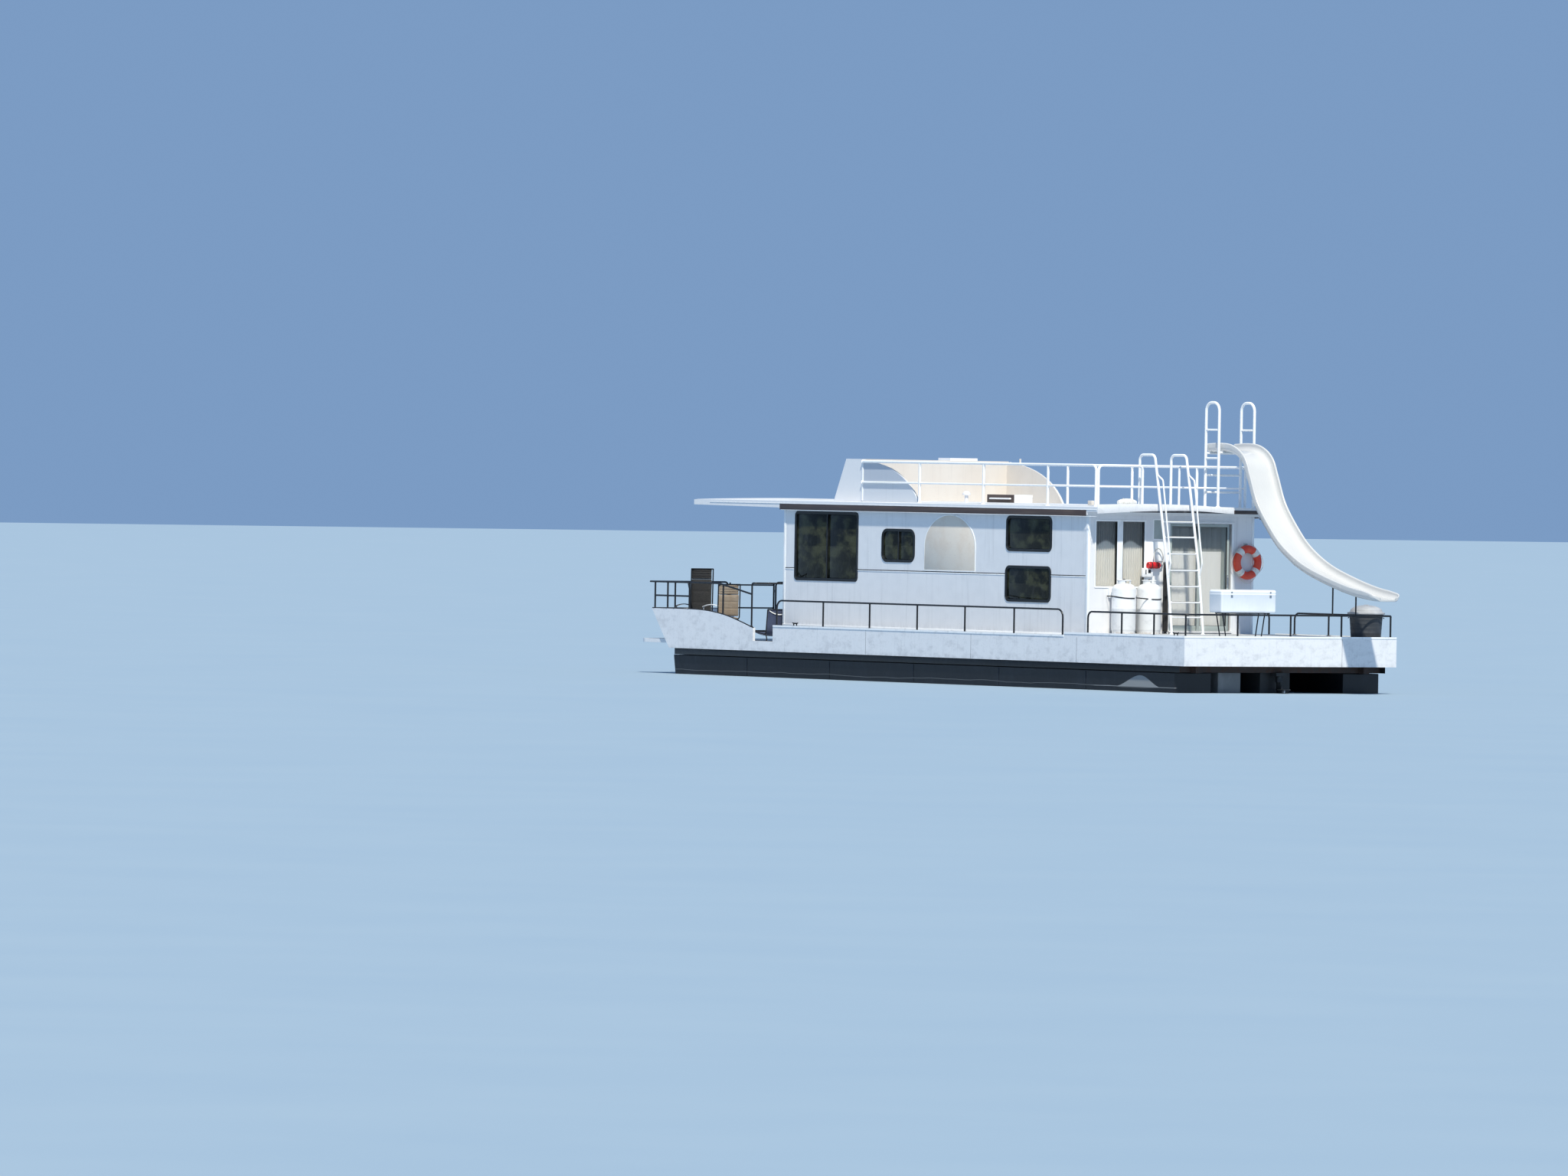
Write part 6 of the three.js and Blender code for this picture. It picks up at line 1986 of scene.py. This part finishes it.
class HOUSEBOAT_OT_seats(Builder, bpy.types.Operator):
    """Two high-backed deck chairs and a low sling chair on the bow deck"""

    bl_idname = "houseboat.seats"
    bl_label = "Bow deck seats"

    def execute(self, context):
        self.chair("port", -14.97, -1.96, 1.3, "black_cloth", "rail_black")
        self.chair("centre", -14.35, -1.8, 1.03, "grey_cloth", "rail_white")
        self.sling()
        return DONE

    def chair(self, name, x, y, back_top, cloth, arms):
        """Tube frame, seat pad, tall back pad with a ribbed headrest, and two arms."""
        deck, half, bar = BOW_DECK + STAND_OFF, 0.26, 0.0115
        fore, aft, seat, high = x - half, x + half, deck + 0.43, deck + back_top
        port, starboard, arm_top = y - half + 0.016, y + half - 0.016, seat + 0.2
        tubes = Piece("rail_black")
        for side in (port, starboard):
            for foot, top in ((fore + 0.02, aft - 0.05), (aft - 0.03, fore + 0.03)):
                tubes.tube([(foot, side, deck), (top, side, seat - 0.03)], bar, sides=10)
                tubes.lathe([(0, 0), (0.016, 0), (0.016, 0.02), (0.012, 0.03), (0, 0.03)], (foot, side, deck),
                    sides=12)
            tubes.tube([(fore + 0.02, side, seat - 0.035), (aft - 0.03, side, seat - 0.035),
                (aft - 0.016, side, high - 0.01)], bar, 0.04, 10)
        for z in (seat - 0.035, deck + 0.16):
            tubes.rung(aft - 0.05, port, starboard, z, 0.009, 8)
        tubes.rung(aft - 0.016, port, starboard, high - 0.013, bar, 10)
        tubes.use(arms)
        for side in (port + 0.004, starboard - 0.004):
            arm = curve_through([(aft - 0.03, side, arm_top - 0.005), (x + 0.06, side, arm_top + 0.012),
                (x - 0.1, side, arm_top), (fore + 0.03, side, arm_top - 0.03)], 5)
            tubes.sweep(arm, [(-0.02, -0.006), (0.02, -0.006), (0.021, 0.003), (0.013, 0.009),
                (-0.013, 0.009), (-0.021, 0.003)], up=UP)
            tubes.tube([(fore + 0.07, side, seat - 0.03), (fore + 0.05, side, arm_top - 0.02)], 0.009,
                sides=8)
        tubes.make("chair_" + name + "_frame", slot="black_tube")
        cushion = Piece(cloth)
        pad(cushion, (x - 0.005, y, seat - 0.028), (0, half - 0.03, 0), (half - 0.02, 0, 0), (0, 0, 0.028),
            (-0.35, 0.3))
        cushion.make("chair_" + name + "_seat_pad", "chair_" + name, smooth=70)
        back, low, split = Piece(cloth), seat + 0.01, high - 0.2
        pad(back, (aft - 0.034, y, (low + split) / 2), (0, half - 0.03, 0), (0.004, 0, (split - low) / 2),
            (0.026, 0, 0), (-0.3, 0.35))
        pad(back, (aft - 0.034, y, (split + high) / 2 - 0.004), (0, half - 0.035, 0),
            (0, 0, (high - split) / 2 - 0.006), (0.026, 0, 0), (-0.5, 0.0, 0.5))
        back.make("chair_" + name + "_back_pad", smooth=70)

    def sling(self):
        x0, x1, port, starboard, deck, bar = -12.928, -12.46, -2.128, -1.612, BOW_DECK + STAND_OFF, 0.011
        seat, top, middle, across = deck + 0.2, deck + 0.6, (port + starboard) / 2, 0.51
        tubes = Piece("rail_black")
        low, knee = deck + 0.012, (x1 - 0.06, seat - 0.06)
        for y in (port, starboard):
            for bend, line in ((0.05, ((x0, low), (x0, seat - 0.012), knee, (x1 - 0.014, top - 0.012))),
                    (0.04, ((x0, low), (x1 - 0.012, low), knee))):
                tubes.tube([(x, y, z) for x, z in line], bar, bend, 10)
        for x, z in ((x0, seat - 0.012), (x1 - 0.014, top - 0.012), (x1 - 0.012, low)):
            tubes.rung(x, port, starboard, z, bar, 10)
        tubes.make("sling_chair_frame", slot="black_tube")
        line = curve_through([(x0, 0, seat), (x0 + 0.128, 0, seat - 0.045), (x0 + 0.288, 0, seat - 0.075),
            (x1 - 0.085, 0, seat - 0.03), (x1 - 0.035, 0, seat + 0.09), (x1 - 0.012, 0, top)], 5)
        spread, cloth = [a - 1 for a in arc(2, 16)], Piece("navy_cloth")
        cloth.skin([[(p.x, middle + t * across / 2, p.z - 0.022 * (1 - t * t)
            * (0.4 if p.z > seat + 0.1 else 1.0)) for t in spread] for p in line], ring=False)
        made = cloth.make("sling_cloth", "sling_chair", smooth=80)
        run_length(line)
        band, wide = Piece("band_white"), 0.019
        strip = [[(x1 - 0.004, middle + across * 0.44 * t, top - 0.022 - 0.07 * (1 - t * t) - wide * s)
            for t in spread] for s in (0.0, 0.5, 1.0)]
        band.skin(strip, ring=False)
        made = band.make("sling_band", slot="navy_cloth", smooth=80)
        run_length(strip[1])


class HOUSEBOAT_OT_drive(Builder, bpy.types.Operator):
    """Engine block, drive leg, propeller and holding tank under the deck"""

    bl_idname = "houseboat.drive"
    bl_label = "Drive and tank"

    X, HUB = -0.33, 0.33

    def execute(self, context):
        dress(["engine_block"], "engine_grey", 0.006)
        dress(["holding_tank"], "tank_plastic", 0.012)
        self.leg().make("drive_leg_casting", "drive_leg", "drive_leg")
        self.propeller().make("propeller_blades", "propeller", "propeller")
        return DONE

    def leg(self):
        x, top = self.X, 0.7997
        leg = Piece("drive_black")
        leg.lathe([(0, -0.11), (0.052, -0.11), (0.06, -0.1), (0.06, -0.02), (0.056, -0.012), (0.06, -0.004),
            (0.056, 0), (0, 0)], (x, 0, top), sides=28)
        # height, fore and aft edge, half thickness
        stations = [(top - 0.095, -0.055, 0.085, 0.03), (0.64, -0.06, 0.095, 0.028),
            (0.56, -0.06, 0.105, 0.026), (0.45, -0.062, 0.12, 0.024), (0.39, -0.062, 0.13, 0.024),
            (0.27, -0.055, 0.13, 0.02), (0.19, -0.03, 0.09, 0.012), (0.115, 0.005, 0.045, 0.007)]
        leg.skin([[(x + (x0 + x1) / 2 + cos(a) * (x1 - x0) / 2, sin(a) * half * (1 - 0.35 * cos(a)), z)
            for a in turns(28)] for z, x0, x1, half in stations])
        leg.lathe([(0, -0.13), (0.014, -0.126), (0.034, -0.105), (0.052, -0.06), (0.061, 0.0), (0.062, 0.06),
            (0.058, 0.12), (0.05, 0.15), (0, 0.15)], (x, 0, self.HUB), AFT, 28)
        plate = [(-0.06, -0.03), (0.02, -0.085), (0.19, -0.1), (0.23, -0.085)]
        plate += [(a, -b) for a, b in plate[::-1]]
        leg.slab([(x + a, b, 0.5605) for a, b in plate], (0, 0, 0.014), 0.004)
        leg.use("fitting_metal")
        leg.block((x + 0.1, -0.012, 0.5), (x + 0.17, 0.012, 0.56), 0.006)
        return leg

    def propeller(self):
        x = self.X + 0.15 + STAND_OFF
        screw = Piece("drive_black")
        screw.lathe([(0, 0), (0.04, 0), (0.048, 0.006), (0.048, 0.085), (0.042, 0.1), (0.02, 0.11),
            (0, 0.11)], (x, 0, self.HUB), AFT, 28)
        for blade in turns(3):
            turn = Matrix.Rotation(blade, 3, "X")
            rows = []
            for t in arc(1, 8):
                chord = 0.062 * sin(pi * (0.32 + 0.6 * t)) + 0.006
                pitch = Matrix.Rotation(radians(64 - 36 * t), 3, "Z")
                rows.append([])
                for a in turns(16):
                    flat = pitch @ Vector((cos(a) * chord, sin(a) * (0.006 - 0.0042 * t), 0))
                    spot = flat + Vector((0, 0.02 * t * t, 0.043 + 0.143 * t))
                    rows[-1].append(Vector((x + 0.055, 0, self.HUB)) + turn @ spot)
            screw.skin(rows)
        return screw


OPERATORS = (
    HOUSEBOAT_OT_stage, HOUSEBOAT_OT_hull, HOUSEBOAT_OT_decks, HOUSEBOAT_OT_bulwarks, HOUSEBOAT_OT_low_rails,
    HOUSEBOAT_OT_bow_gate, HOUSEBOAT_OT_cabin_walls, HOUSEBOAT_OT_side_windows, HOUSEBOAT_OT_front_end,
    HOUSEBOAT_OT_stern_end, HOUSEBOAT_OT_curtains, HOUSEBOAT_OT_interior, HOUSEBOAT_OT_roof,
    HOUSEBOAT_OT_fairing, HOUSEBOAT_OT_hatch, HOUSEBOAT_OT_upper_rails, HOUSEBOAT_OT_ladder,
    HOUSEBOAT_OT_slide,
    HOUSEBOAT_OT_stern_fittings, HOUSEBOAT_OT_gas_cylinders, HOUSEBOAT_OT_stowage, HOUSEBOAT_OT_tub,
    HOUSEBOAT_OT_life_ring, HOUSEBOAT_OT_extinguisher, HOUSEBOAT_OT_furled_pole, HOUSEBOAT_OT_seats,
    HOUSEBOAT_OT_drive,
)


class HOUSEBOAT_PT_panel(bpy.types.Panel):
    """Lists the pieces, colours and sizes"""

    bl_idname = "HOUSEBOAT_PT_panel"
    bl_label = "Pontoon Houseboat"
    bl_space_type = "VIEW_3D"
    bl_region_type = "UI"
    bl_category = "Houseboat"

    def draw(self, context):
        for group in (context.scene.houseboat_colours, context.scene.houseboat_sizes):
            column = self.layout.column(align=True)
            for key in group.__annotations__:
                column.prop(group, key)
        column = self.layout.column(align=True)
        for operator in OPERATORS:
            column.operator(operator.bl_idname)


CLASSES = (HouseboatColours, HouseboatSizes, *OPERATORS, HOUSEBOAT_PT_panel)


def register():
    for entry in CLASSES:
        bpy.utils.register_class(entry)
    bpy.types.Scene.houseboat_colours = PointerProperty(type=HouseboatColours)
    bpy.types.Scene.houseboat_sizes = PointerProperty(type=HouseboatSizes)


def unregister():
    del bpy.types.Scene.houseboat_colours
    del bpy.types.Scene.houseboat_sizes
    for entry in reversed(CLASSES):
        bpy.utils.unregister_class(entry)


def main():
    register()
    for operator in OPERATORS:
        group, name = operator.bl_idname.split(".")
        getattr(getattr(bpy.ops, group), name)()


if __name__ == "__main__":
    main()
